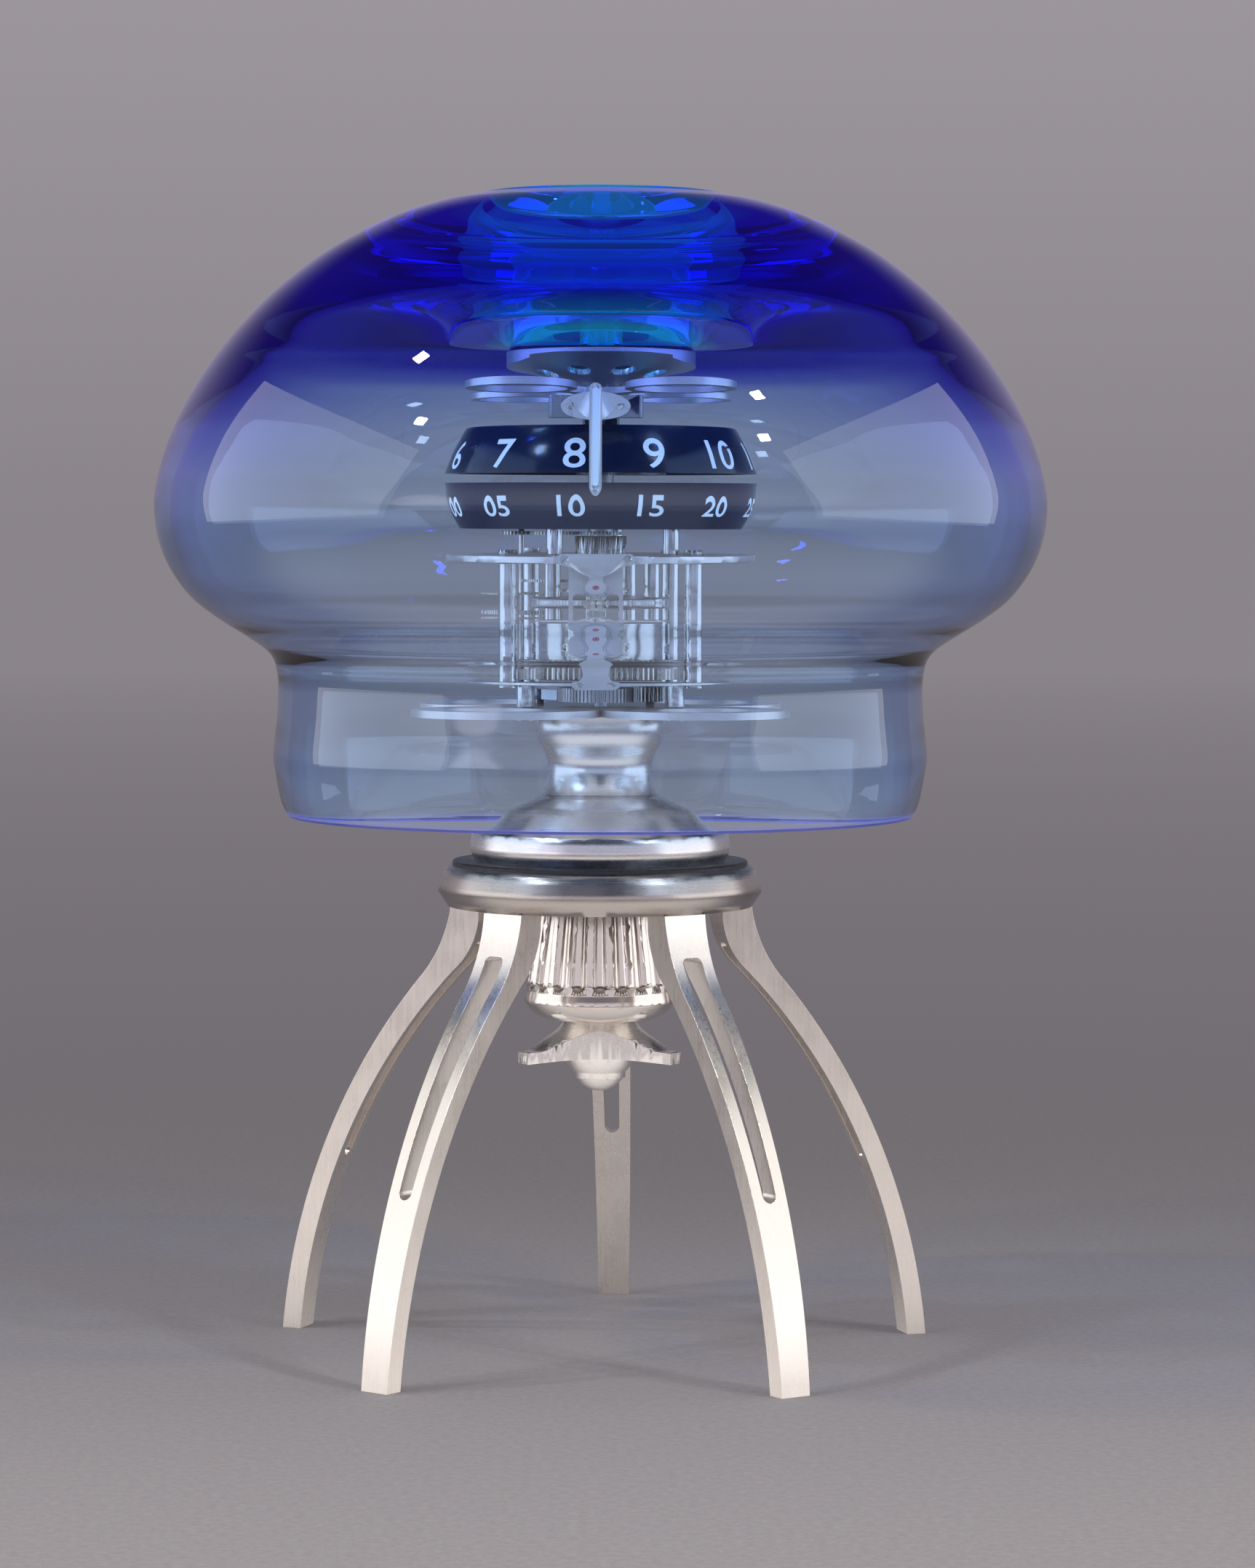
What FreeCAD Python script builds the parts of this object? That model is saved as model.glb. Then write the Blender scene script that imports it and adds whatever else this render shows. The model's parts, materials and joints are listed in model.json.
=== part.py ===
import FreeCAD, Part
import math
import os

import Sketcher
from FreeCAD import Placement, Rotation, Vector

# Mystery clock
# A free-standing table clock. A bell of thick blown glass hangs from the top of a slim column and
# surrounds the movement, two numbered rings and a fixed pointer. Five slotted legs carry a turned base,
# and a three-arm knob under the base winds the clock.
# The frame has its origin on the floor under the middle of the clock, +Z up, and the front faces -Y.

# Angles and counts that never change
FULL_TURN = 360
HALF_TURN = FULL_TURN / 2
QUARTER_TURN = FULL_TURN / 4
HEXAGON_SIDES = 6
LOBE_COUNT = 4
WHEEL_SPOKES = 4
WINDING_SPOKES = 5
CONTRATE_SPOKES = 5
BALANCE_SPOKES = 3
SPIRAL_STEPS = 36
BRIDGE_PILLAR_ANGLES = (-31, 216, 62)
# Side of the screw and the turn of its slot
COCK_SLOT_TURNS = ((1, 60), (-1, 40))
POINTER_SLOT_TURNS = ((1, 35), (-1, 110))
# An edge that leans less than this share of its length from upright counts as upright
UPRIGHT_SHARE = 0.9

# Driving sizes in millimetres, degrees and counts
SIZES = {
    "Fits": {
        "running_clearance": 0.05,
        "seat_clearance": 0.02,
        "cut_overrun": 1.0,
    },
    "Legs": {
        "leg_count": 5,
        "first_leg_angle": 15.2,
        "leg_height": 125.4,
        "leg_top_outer_radius": 42.7,
        "leg_top_thickness": 8.5,
        "leg_straight_length": 4.4,
        "leg_knee_radius": 53.0,
        "leg_knee_share": 0.8214,
        "leg_inner_knee_radius": 42.0,
        "leg_inner_knee_share": 0.8453,
        "leg_shoulder_curve": 40.0,
        "leg_inner_shoulder_curve": 23.0,
        "leg_long_curve_share": 1.4992,
        "leg_inner_long_curve_share": 1.4035,
        "foot_outer_radius": 96.2,
        "foot_thickness": 5.6,
        "leg_top_width": 13.5,
        "foot_width": 9.2,
        "slot_top_share": 0.9075,
        "slot_bottom_share": 0.4043,
        "slot_top_width": 6.3,
        "slot_bottom_width": 4.2,
        "slot_corner": 1.6,
        "slot_foot_curve_share": 1.02,
        "leg_edge_chamfer": 0.25,
    },
    "Leg screws": {
        "leg_screw_inset": 4.8,
        "leg_screw_radius": 2.0,
        "leg_screw_depth": 10.0,
        "leg_screw_head_radius": 3.4,
        "leg_screw_head_height": 3.4,
        "leg_screw_hex_radius": 1.7,
        "leg_screw_hex_depth": 1.8,
    },
    "Base": {
        "base_ring_height": 11.5,
        "base_ring_bottom_radius": 43.0,
        "base_ring_widest_radius": 45.7,
        "base_ring_band_radius": 43.7,
        "base_ring_top_radius": 41.9,
        "base_ring_lower_chamfer": 4.1,
        "base_ring_upper_chamfer": 1.1,
        "spacer_radius": 41.6,
        "spacer_thickness": 1.2,
        "spacer_edge": 0.35,
        "foot_turning_height": 21.9,
        "foot_turning_bottom_radius": 35.2,
        "foot_turning_widest_radius": 36.8,
        "foot_turning_band_radius": 36.1,
        "foot_turning_steep_radius": 34.9,
        "foot_turning_ledge_radius": 25.9,
        "foot_turning_undercut": 2.8,
        "foot_turning_band_height": 5.1,
        "foot_turning_band_step": 0.5,
        "foot_turning_steep_height": 9.3,
        "stem_height": 19.7,
        "stem_base_radius": 16.4,
        "stem_base_height": 8.9,
        "stem_neck_curve": 6.8,
        "stem_bulb_radius": 18.5,
        "stem_bulb_curve": 11.0,
        "stem_top_radius": 17.7,
        "stem_bulb_height": 14.6,
    },
    "Winding sleeve": {
        "sleeve_height": 24.2,
        "sleeve_top_radius": 17.2,
        "sleeve_bottom_radius": 20.6,
        "flute_count": 21,
        "flute_top_half_width": 1.7,
        "flute_bottom_half_width": 2.15,
        "flute_depth": 1.3,
        "flute_end_margin": 1.2,
        "lip_height": 7.8,
        "lip_radius": 21.3,
        "lip_band_height": 2.7,
        "lip_bottom_radius": 14.8,
        "lip_bowl_curve": 8.0,
        "tie_tube_radius": 5.0,
        "tie_head_radius": 9.0,
        "tie_head_height": 3.0,
        "shaft_radius": 2.0,
    },
    "Winding knob": {
        "knob_gap": 0.3,
        "knob_height": 10.1,
        "knob_neck_radius": 10.0,
        "knob_flare_radius": 14.8,
        "knob_flare_height": 4.9,
        "knob_flare_curve": 9.0,
        "knob_arm_radius": 24.8,
        "knob_arm_half_width": 3.0,
        "knob_waist_radius": 11.6,
        "knob_tip_thickness": 3.1,
        "knob_arm_droop": 1.5,
        "knob_arm_crown_radius": 20.4,
        "knob_arm_crown_rise": 0.6,
        "cap_ball_radius": 9.9,
        "cap_ball_height": 4.9,
        "cap_ball_curve": 6.5,
        "cap_collar_radius": 7.3,
        "cap_collar_height": 1.5,
        "cap_tip_radius": 6.7,
        "cap_tip_height": 3.9,
        "cap_tip_curve": 7.8,
        "cap_bore_depth": 6.0,
    },
    "Plates": {
        "crown_plate_thickness": 2.1,
        "crown_plate_lobe_radius": 26.0,
        "crown_plate_lobe_circle_radius": 36.8,
        "crown_plate_window_radius": 14.0,
        "crown_plate_window_circle_radius": 42.0,
        "crown_plate_hub_radius": 26.0,
        "lower_gap": 6.1,
        "lower_plate_thickness": 1.7,
        "lower_plate_radius": 37.3,
        "lower_plate_flat": 36.4,
        "movement_gap": 32.4,
        "upper_plate_thickness": 1.8,
        "upper_plate_radius": 43.4,
        "upper_plate_recess": 38.0,
        "upper_recess_half_width": 13.0,
        "lower_recess_half_width": 9.5,
        "plate_edge": 0.2,
    },
    "Pillars and plate screws": {
        "pillar_radius": 2.5,
        "pillar_edge": 0.3,
        "front_pillar_x": 25.7,
        "front_pillar_y": 18.0,
        "rear_pillar_x": 20.0,
        "rear_pillar_y": 27.5,
        "lower_pillar_x": 20.8,
        "lower_pillar_y": 14.0,
        "plate_screw_radius": 1.2,
        "plate_screw_length": 2.6,
        "plate_screw_head_radius": 2.7,
        "plate_screw_head_height": 1.5,
        "screw_slot_width": 0.5,
        "screw_slot_depth": 0.5,
        "screw_end_gap": 0.1,
        "first_slot_turn": 25.0,
        "slot_turn_step": 40.0,
        "cap_ball_lower_share": 1.3,
        "winding_rim_share": 2.2,
        "click_nose_turn": 24.0,
        "click_eye_share": 0.8,
        "escape_rear_pivot_length": 2.6,
        "escape_shoulder_gap": 0.3,
        "escape_root_share": 0.72,
        "escape_tip_start": 9.0,
        "escape_tip_end": 11.5,
        "escape_root_end": 7.0,
        "escape_hollow_share": 0.8,
        "escape_hub_share": 0.42,
        "fork_notch_share": 0.82,
        "fork_pin_gap": 0.1,
        "fork_pin_share": 1.6,
        "staff_gap": 0.2,
        "balance_hub_share": 1.7,
        "roller_thickness": 0.5,
        "cock_shoulder_share": 0.8,
        "cock_waist_share": 0.55,
        "balance_cock_corner": 1.0,
        "balance_cock_shoulder_share": 0.7,
        "balance_cock_waist_share": 0.6,
        "balance_cock_tip_share": 0.8,
        "cup_window_reach_share": 6.0,
        "bracket_arm_overlap": 1.0,
        "dome_round_share": 0.29,
        "dome_boss_drop_share": 0.15,
        "dome_neck_rise_share": 0.55,
        "dome_under_rise_share": 0.72,
        "dome_boss_bulge": 0.9,
        "dome_boss_sag": 0.3,
        "bridge_pillar_radius": 2.3,
        "bridge_pillar_circle_radius": 16.6,
        "ring_pillar_left_x": 12.8,
        "ring_pillar_left_y": 20.0,
        "ring_pillar_right_x": 19.5,
        "ring_pillar_right_y": 16.0,
        "ring_pillar_rear_x": 4.0,
        "ring_pillar_rear_y": 24.0,
    },
    "Bridges": {
        "train_bridge_height": 19.4,
        "train_bridge_thickness": 1.4,
        "train_bridge_radius": 19.6,
        "motion_bridge_gap": 8.6,
        "motion_bridge_thickness": 1.6,
        "motion_bridge_radius": 28.5,
        "motion_bridge_bore": 4.3,
    },
    "Barrel": {
        "barrel_teeth": 90,
        "barrel_module": 0.52,
        "barrel_floor_gap": 1.7,
        "barrel_floor_thickness": 1.3,
        "barrel_wheel_thickness": 2.4,
        "barrel_radius": 17.3,
        "barrel_wall": 1.3,
        "barrel_height": 16.0,
        "barrel_cover_thickness": 1.0,
        "barrel_arbor_radius": 5.0,
        "barrel_journal_radius": 3.0,
        "barrel_top_journal_radius": 2.0,
        "barrel_socket_depth": 3.2,
        "mainspring_turns": 7,
        "mainspring_thickness": 0.6,
        "mainspring_outer_clearance": 0.6,
        "mainspring_inner_clearance": 0.4,
    },
    "Going train": {
        "pinion_leaves": 10,
        "centre_arbor_angle": 150.0,
        "arbor_radius": 0.8,
        "pivot_radius": 0.5,
        "centre_teeth": 80,
        "centre_module": 0.28,
        "centre_wheel_rise": 1.0,
        "wheel_thickness": 1.0,
        "wheel_hub_radius": 2.0,
        "wheel_rim": 1.3,
        "wheel_spoke_width": 1.3,
        "third_direction": -36.0,
        "third_teeth": 75,
        "third_module": 0.265,
        "third_wheel_rise": 7.6,
        "fourth_direction": -12.0,
        "contrate_radius": 9.7,
        "contrate_teeth": 80,
        "contrate_rise": 2.8,
        "contrate_web": 0.7,
        "contrate_rim": 0.8,
        "contrate_tooth_depth": 0.7,
        "contrate_tooth_share": 0.55,
        "contrate_height": 1.5,
        "pinion_overlap": 0.5,
    },
    "Escapement": {
        "escape_arbor_drop": 5.9,
        "escape_arbor_radius": 0.45,
        "escape_pivot_radius": 0.25,
        "escape_pinion_module": 0.2,
        "escape_pinion_length": 3.0,
        "escape_wheel_radius": 3.6,
        "escape_teeth": 15,
        "escape_wheel_depth": 31.0,
        "escape_wheel_thickness": 0.6,
        "fork_pivot_drop": 5.9,
        "fork_length": 4.6,
        "fork_thickness": 0.6,
        "fork_arm_width": 0.7,
        "fork_stone_gap": 0.3,
        "balance_drop": 13.1,
        "balance_radius": 8.5,
        "balance_rim": 0.9,
        "balance_thickness": 1.1,
        "balance_depth": 34.1,
        "balance_spoke_width": 0.9,
        "balance_screw_count": 12,
        "balance_screw_radius": 0.45,
        "balance_screw_length": 0.9,
        "balance_staff_radius": 0.7,
        "roller_radius": 1.9,
        "hairspring_depth": 32.9,
        "hairspring_turns": 6,
        "hairspring_thickness": 0.12,
        "hairspring_inner_radius": 1.2,
        "hairspring_outer_radius": 4.4,
        "hairspring_height": 0.4,
        "platform_depth": 25.6,
        "platform_thickness": 1.5,
        "platform_half_width": 7.5,
        "platform_bottom_drop": 24.6,
        "platform_boss_radius": 1.5,
        "platform_boss_length": 3.6,
        "cock_thickness": 1.2,
        "escape_cock_half_width": 10.8,
        "escape_cock_rise": 0.6,
        "escape_cock_arm_height": 3.2,
        "escape_cock_neck_drop": 4.6,
        "escape_cock_neck_half_width": 1.9,
        "cock_eye_radius": 3.0,
        "balance_cock_half_width": 6.5,
        "balance_cock_foot_height": 4.4,
        "balance_cock_foot_drop": 1.3,
        "balance_cock_neck_half_width": 2.6,
        "jewel_radius": 0.95,
        "jewel_thickness": 0.6,
        "cock_screw_radius": 0.6,
        "cock_screw_length": 2.8,
        "cock_screw_head_radius": 1.25,
        "cock_screw_head_height": 0.6,
        "cock_screw_slot_width": 0.3,
        "cock_screw_slot_depth": 0.3,
        "escape_cock_screw_x": 8.6,
        "balance_cock_screw_x": 4.3,
    },
    "Winding work": {
        "winding_teeth": 66,
        "winding_module": 0.36,
        "winding_wheel_rise": 1.2,
        "winding_wheel_thickness": 2.7,
        "winding_hub_radius": 4.5,
        "setting_teeth": 24,
        "setting_wheel_rise": 1.5,
        "setting_wheel_thickness": 3.2,
        "setting_angle": -31.0,
        "setting_arbor_radius": 1.2,
        "click_angle": 165.0,
        "click_pivot_circle_radius": 17.5,
        "click_length": 9.0,
        "click_width": 2.2,
        "click_thickness": 1.6,
        "click_rise": 1.5,
        "click_tip_gap": 0.3,
        "click_pin_radius": 1.0,
    },
    "Time rings": {
        "minute_gap": 7.4,
        "minute_height": 12.4,
        "minute_bottom_radius": 39.6,
        "ring_widest_radius": 43.8,
        "ring_gap": 3.3,
        "hour_height": 14.6,
        "hour_top_radius": 37.9,
        "minute_face_curve": 42.0,
        "hour_face_curve": 36.0,
        "ring_wall": 2.0,
        "ring_lip": 1.2,
        "ring_spoke_count": 3,
        "ring_spoke_width": 5.0,
        "ring_spoke_thickness": 2.0,
        "ring_spoke_sink": 0.5,
        "minute_spoke_rise": 5.0,
        "hour_spoke_rise": 7.2,
        "ring_boss_radius": 7.5,
        "minute_tube_radius": 3.6,
        "hour_tube_radius": 4.6,
        "motion_gear_module": 0.35,
        "motion_gear_teeth": 32,
        "motion_gear_rise": 5.5,
        "motion_gear_thickness": 1.0,
        "idler_teeth": 43,
        "idler_pin_radius": 1.0,
        "minute_pinion_teeth": 24,
        "minute_pinion_height": 1.6,
        "minute_tube_top_rise": 1.3,
        "reduction_teeth": 72,
        "reduction_pinion_teeth": 20,
        "hour_gear_teeth": 80,
        "reduction_angle": 70.0,
        "reduction_arbor_radius": 1.2,
        "reduction_arm_gap": 0.6,
        "reduction_arm_thickness": 1.6,
        "reduction_arm_half_width": 3.0,
        "reduction_hub_radius": 5.0,
        "hour_gear_gap": 1.0,
        "hour_gear_thickness": 1.2,
        "hour_tube_length": 5.4,
    },
    "Column and crown": {
        "post_flange_radius": 7.25,
        "post_flange_height": 5.2,
        "post_radius": 2.6,
        "post_tip_radius": 2.2,
        "post_shoulder_gap": 1.0,
        "post_above_floor": 6.5,
        "crown_gap": 14.1,
        "crown_thickness": 2.2,
        "crown_loop_circle_radius": 31.2,
        "crown_loop_radius": 15.5,
        "crown_loop_band": 2.7,
        "crown_arm_width": 5.0,
        "crown_hub_radius": 8.0,
        "crown_blend": 3.0,
        "cup_height": 9.1,
        "cup_flange_radius": 26.7,
        "cup_flange_thickness": 2.1,
        "cup_wall": 1.2,
        "cup_bottom_radius": 6.0,
        "cup_neck_height": 1.6,
        "cup_tube_radius": 2.7,
        "cup_window_count": 8,
        "cup_window_radius": 3.3,
        "gasket_thickness": 0.8,
        "gasket_inner_radius": 20.0,
    },
    "Pointer": {
        "pointer_turn": -1.8,
        "pointer_front": 47.2,
        "pointer_bar_thickness": 1.2,
        "pointer_plate_thickness": 1.0,
        "pointer_half_width": 1.7,
        "pointer_overlap": 2.6,
        "pointer_length": 34.0,
        "pointer_groove_half_width": 0.9,
        "pointer_groove_depth": 0.4,
        "pointer_oval_half_width": 9.4,
        "pointer_oval_half_height": 4.7,
        "pointer_oval_drop": 7.4,
        "pointer_screw_x": 6.55,
        "bracket_half_width": 12.8,
        "bracket_height": 7.4,
        "bracket_bar_thickness": 3.4,
        "bracket_arm_half_width": 4.5,
        "bracket_arm_thickness": 3.4,
        "bracket_hub_radius": 5.2,
    },
    "Glass dome": {
        "dome_radius": 125.0,
        "dome_waist_share": 0.26,
        "dome_belly_share": 0.51,
        "dome_shoulder_share": 0.77,
        "dome_height": 175.4,
        "dome_wall": 4.0,
        "dome_seat_height": 137.7,
        "dome_neck_radius": 26.0,
        "dome_boss_radius": 42.4,
        "dome_floor_thickness": 4.8,
        "dome_well_radius": 26.5,
        "dome_well_mouth_radius": 28.5,
        "dome_rod_hole_radius": 4.0,
        "dome_nut_radius": 9.0,
        "dome_nut_thickness": 2.4,
        "dome_nut_hex_radius": 4.6,
        "dome_nut_hex_height": 2.2,
    },
}

doc = FreeCAD.newDocument("mystery_clock")
sheet = doc.addObject("Spreadsheet::Sheet", "Sizes")
row = 1
for group, values in SIZES.items():
    sheet.set(f"A{row}", group)
    row += 1
    for alias, value in values.items():
        sheet.set(f"A{row}", alias)
        sheet.set(f"B{row}", str(value))
        sheet.setAlias(f"B{row}", alias)
        row += 1
doc.recompute()


class Size:
    """A length with the sheet formula that gives it, so that one name serves both."""

    def __init__(self, number, formula):
        self.number = float(number)
        self.formula = formula

    def __float__(self):
        return self.number

    def __add__(self, other):
        other = as_size(other)
        return Size(self.number + other.number, f"({self.formula} + {other.formula})")

    def __radd__(self, other):
        return as_size(other) + self

    def __sub__(self, other):
        other = as_size(other)
        return Size(self.number - other.number, f"({self.formula} - {other.formula})")

    def __rsub__(self, other):
        return as_size(other) - self

    def __mul__(self, factor):
        factor = as_size(factor)
        return Size(self.number * factor.number, f"({self.formula} * {factor.formula})")

    def __rmul__(self, factor):
        return as_size(factor) * self

    def __truediv__(self, divisor):
        divisor = as_size(divisor)
        return Size(self.number / divisor.number, f"({self.formula} / {divisor.formula})")

    def __neg__(self):
        return 0 - self


def as_size(value):
    """A Size as it is, or a plain number as a Size."""
    if isinstance(value, Size):
        return value
    return Size(value, f"({float(value)!r})")


class SheetSizes:
    """The sheet's values by name."""

    def __getattr__(self, alias):
        return Size(getattr(sheet, alias), f"Sizes.{alias}")


S = SheetSizes()
pieces = []

# Levels, from the floor up
ring_base = S.leg_height
ring_top = ring_base + S.base_ring_height
spacer_top = ring_top + S.spacer_thickness
foot_top = spacer_top + S.foot_turning_height
stem_top = foot_top + S.stem_height
crown_plate_top = stem_top + S.crown_plate_thickness
lower_plate_base = crown_plate_top + S.lower_gap
lower_plate_top = lower_plate_base + S.lower_plate_thickness
upper_plate_base = lower_plate_top + S.movement_gap
upper_plate_top = upper_plate_base + S.upper_plate_thickness
bridge_base = lower_plate_top + S.train_bridge_height
bridge_top = bridge_base + S.train_bridge_thickness
motion_bridge_base = upper_plate_top + S.motion_bridge_gap
motion_bridge_top = motion_bridge_base + S.motion_bridge_thickness
minute_base = upper_plate_top + S.minute_gap
minute_top = minute_base + S.minute_height
hour_base = minute_top + S.ring_gap
hour_top = hour_base + S.hour_height
crown_base = hour_top + S.crown_gap
crown_top = crown_base + S.crown_thickness
cup_top = crown_top + S.cup_height
glass_seat = cup_top + S.gasket_thickness
dome_base = glass_seat - S.dome_seat_height
floor_top = glass_seat + S.dome_floor_thickness
sleeve_base = ring_base - S.sleeve_height
lip_base = sleeve_base - S.lip_height
knob_top = lip_base - S.knob_gap
knob_base = knob_top - S.knob_height

# Sketch and body helpers


def body_plane(body, role):
    """One of the body's own origin planes or axes, found by its role."""
    for feature in body.Origin.OriginFeatures:
        if feature.Role == role:
            return feature
    return None


def new_body(label):
    """An empty body that is one piece of the clock."""
    body = doc.addObject("PartDesign::Body", label)
    body.Label = label
    pieces.append(body)
    return body


def new_sketch(body, role, name, height=None):
    """A sketch on one of the body's origin planes, raised by height where it is given."""
    sketch = body.newObject("Sketcher::SketchObject", name)
    sketch.AttachmentSupport = [(body_plane(body, role), "")]
    sketch.MapMode = "FlatFace"
    if height is not None:
        sketch.setExpression("AttachmentOffset.Base.z", height.formula)
    return sketch


def pin_point(sketch, geometry, end, across, up):
    """Ties one end of a line or arc to its place, counted from the sketch's origin."""
    for kind, place, axis in (("DistanceX", across, -2), ("DistanceY", up, -1)):
        place = as_size(place)
        if place.number == 0:
            sketch.addConstraint(Sketcher.Constraint("PointOnObject", geometry, end, axis))
        else:
            index = sketch.addConstraint(Sketcher.Constraint(kind, -1, 1, geometry, end, place.number))
            sketch.setExpression(f"Constraints[{index}]", place.formula)


def arc_through(start, end, radius, side):
    """A short arc from start to end that bulges to the left or to the right of the way it goes."""
    chord = end - start
    middle = (start + end) / 2
    left = Vector(-chord.y, chord.x, 0).normalize()
    reach = math.sqrt(max(radius ** 2 - (chord.Length / 2) ** 2, 0))
    centre = middle - left * reach if side == "left" else middle + left * reach
    first, last = (end, start) if side == "left" else (start, end)
    circle = Part.Circle(centre, Vector(0, 0, 1), radius)
    return Part.ArcOfCircle(circle, circle.parameter(first), circle.parameter(last))


def draw_outline(sketch, corners):
    """Closes an outline through corners (across, up), with an arc before a corner that has one."""
    count = len(corners)
    points = [Vector(float(corner[0]), float(corner[1]), 0) for corner in corners]
    edges = []
    for index in range(count):
        start = points[index - 1]
        end = points[index]
        if len(corners[index]) > 2:
            side, radius = corners[index][2:]
            radius = as_size(radius)
            geometry = sketch.addGeometry(arc_through(start, end, radius.number, side), False)
            edges.append((geometry, 2, 1) if side == "left" else (geometry, 1, 2))
            constraint = sketch.addConstraint(Sketcher.Constraint("Radius", geometry, radius.number))
            sketch.setExpression(f"Constraints[{constraint}]", radius.formula)
        else:
            geometry = sketch.addGeometry(Part.LineSegment(start, end), False)
            edges.append((geometry, 1, 2))
    for index in range(count):
        this_edge = edges[index]
        next_edge = edges[(index + 1) % count]
        joined = Sketcher.Constraint("Coincident", this_edge[0], this_edge[2], next_edge[0], next_edge[1])
        sketch.addConstraint(joined)
        pin_point(sketch, this_edge[0], this_edge[2], corners[index][0], corners[index][1])


def draw_circle(sketch, across, up, radius):
    """A circle tied to its centre and radius."""
    centre = Vector(float(across), float(up), 0)
    geometry = sketch.addGeometry(Part.Circle(centre, Vector(0, 0, 1), float(radius)), False)
    pin_point(sketch, geometry, 3, across, up)
    index = sketch.addConstraint(Sketcher.Constraint("Radius", geometry, float(radius)))
    sketch.setExpression(f"Constraints[{index}]", as_size(radius).formula)


def turn_profile(body, corners, name="Turning"):
    """Turns a profile of (radius, height) corners round the vertical axis."""
    sketch = new_sketch(body, "XZ_Plane", f"{name}Profile")
    draw_outline(sketch, corners)
    turning = body.newObject("PartDesign::Revolution", name)
    turning.Profile = sketch
    turning.ReferenceAxis = (sketch, ["V_Axis"])
    turning.Angle = FULL_TURN
    sketch.Visibility = False
    return turning


def turned(label, corners, place=(0, 0)):
    """A turned piece, with its axis moved to place."""
    body = new_body(label)
    turn_profile(body, corners)
    if float(place[0]) or float(place[1]):
        body.Placement = Placement(Vector(float(place[0]), float(place[1]), 0), Rotation())
    return body


def pad_sketch(body, sketch, length, name="Pad", centred=False):
    """Pads a sketch along its normal."""
    pad = body.newObject("PartDesign::Pad", name)
    pad.Profile = sketch
    pad.Length = float(length)
    pad.setExpression("Length", as_size(length).formula)
    pad.SideType = "Symmetric" if centred else "One side"
    return pad


def cut_through(body, sketch, name):
    """Cuts a sketch through the whole body, both ways."""
    pocket = body.newObject("PartDesign::Pocket", name)
    pocket.Profile = sketch
    pocket.Type = "ThroughAll"
    pocket.SideType = "Symmetric"
    return pocket


def drill(body, name, radius, depth, across, up):
    """A vertical hole whose bottom is at height up."""
    hole = body.newObject("PartDesign::SubtractiveCylinder", name)
    hole.Radius = float(radius)
    hole.setExpression("Radius", as_size(radius).formula)
    hole.Height = float(depth)
    hole.setExpression("Height", as_size(depth).formula)
    hole.Placement = Placement(Vector(float(across), 0, float(up)), Rotation())
    hole.setExpression("Placement.Base.x", as_size(across).formula)
    hole.setExpression("Placement.Base.z", as_size(up).formula)
    return hole


def plate(label, radius, base, thickness, holes, edge, recess=None, edge_holes=()):
    """A round plate with round holes, given as (x, y, radius), and a flat recess at the front.

    Screws enter the recess at the middle of the plate's edge, at the given places across it.
    """
    body = new_body(label)
    disc = new_sketch(body, "XY_Plane", "Disc", base)
    draw_circle(disc, 0, 0, radius)
    blank = pad_sketch(body, disc, thickness)
    if recess is not None:
        flat, half_width = recess
        cut = new_sketch(body, "XY_Plane", "Recess", base)
        far = radius + S.cut_overrun
        corners = [(-half_width, -flat), (-half_width, -far), (half_width, -far), (half_width, -flat)]
        draw_outline(cut, corners)
        blank = cut_through(body, cut, "RecessCut")
    if holes:
        pattern = new_sketch(body, "XY_Plane", "Holes", base)
        for across, up, hole_radius in holes:
            draw_circle(pattern, across, up, hole_radius)
        blank = cut_through(body, pattern, "HoleCut")
    doc.recompute()
    rims = []
    for index, rim in enumerate(blank.Shape.Edges, 1):
        if rim.Length > float(radius) * 2:
            rims.append(f"Edge{index}")
    bevel = body.newObject("PartDesign::Chamfer", "Bevel")
    bevel.Base = (blank, rims)
    bevel.Size = float(edge)
    bevel.setExpression("Size", as_size(edge).formula)
    for across in edge_holes:
        hole = body.newObject("PartDesign::SubtractiveCylinder", "EdgeHole")
        hole.Radius = float(S.cock_screw_radius + S.running_clearance)
        hole.setExpression("Radius", (S.cock_screw_radius + S.running_clearance).formula)
        hole.Height = float(S.cock_screw_length + S.cut_overrun)
        hole.setExpression("Height", (S.cock_screw_length + S.cut_overrun).formula)
        mouth = Vector(float(across), float(S.cock_screw_length - recess[0]), float(base + thickness / 2))
        hole.Placement = Placement(mouth, Rotation(Vector(1, 0, 0), 90))
    return body


def feature(label, shape):
    """A piece whose shape is worked out here from the sheet's sizes."""
    piece = doc.addObject("Part::Feature", label)
    piece.Label = label
    piece.Shape = shape
    pieces.append(piece)
    return piece


# Shape helpers for pieces that are neither turned nor flat


def cylinder(radius, height, base=0, at=(0, 0)):
    """An upright cylinder."""
    return Part.makeCylinder(float(radius), float(height), Vector(float(at[0]), float(at[1]), float(base)))


def tube(outer, inner, height, base=0):
    """An upright tube."""
    overrun = float(S.cut_overrun)
    long_bore = cylinder(inner, float(height) + 2 * overrun, float(base) - overrun)
    return cylinder(outer, height, base).cut(long_bore)


def revolved(points):
    """A solid of revolution about the vertical axis from (radius, height) points."""
    corners = [Vector(float(radius), 0, float(height)) for radius, height in points]
    wire = Part.makePolygon(corners + corners[:1])
    return Part.Face(wire).revolve(Vector(0, 0, 0), Vector(0, 0, 1), FULL_TURN)


def prism(points, height, base=0):
    """An upright prism over (x, y) points."""
    corners = [Vector(float(across), float(up), float(base)) for across, up in points]
    return Part.Face(Part.makePolygon(corners + corners[:1])).extrude(Vector(0, 0, float(height)))


def moved(shape, x=0, y=0, z=0, turn=0):
    """A copy turned about the vertical axis and then moved."""
    copy = shape.copy()
    copy.Placement = Placement(Vector(float(x), float(y), float(z)), Rotation(Vector(0, 0, 1), float(turn)))
    return copy


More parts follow.
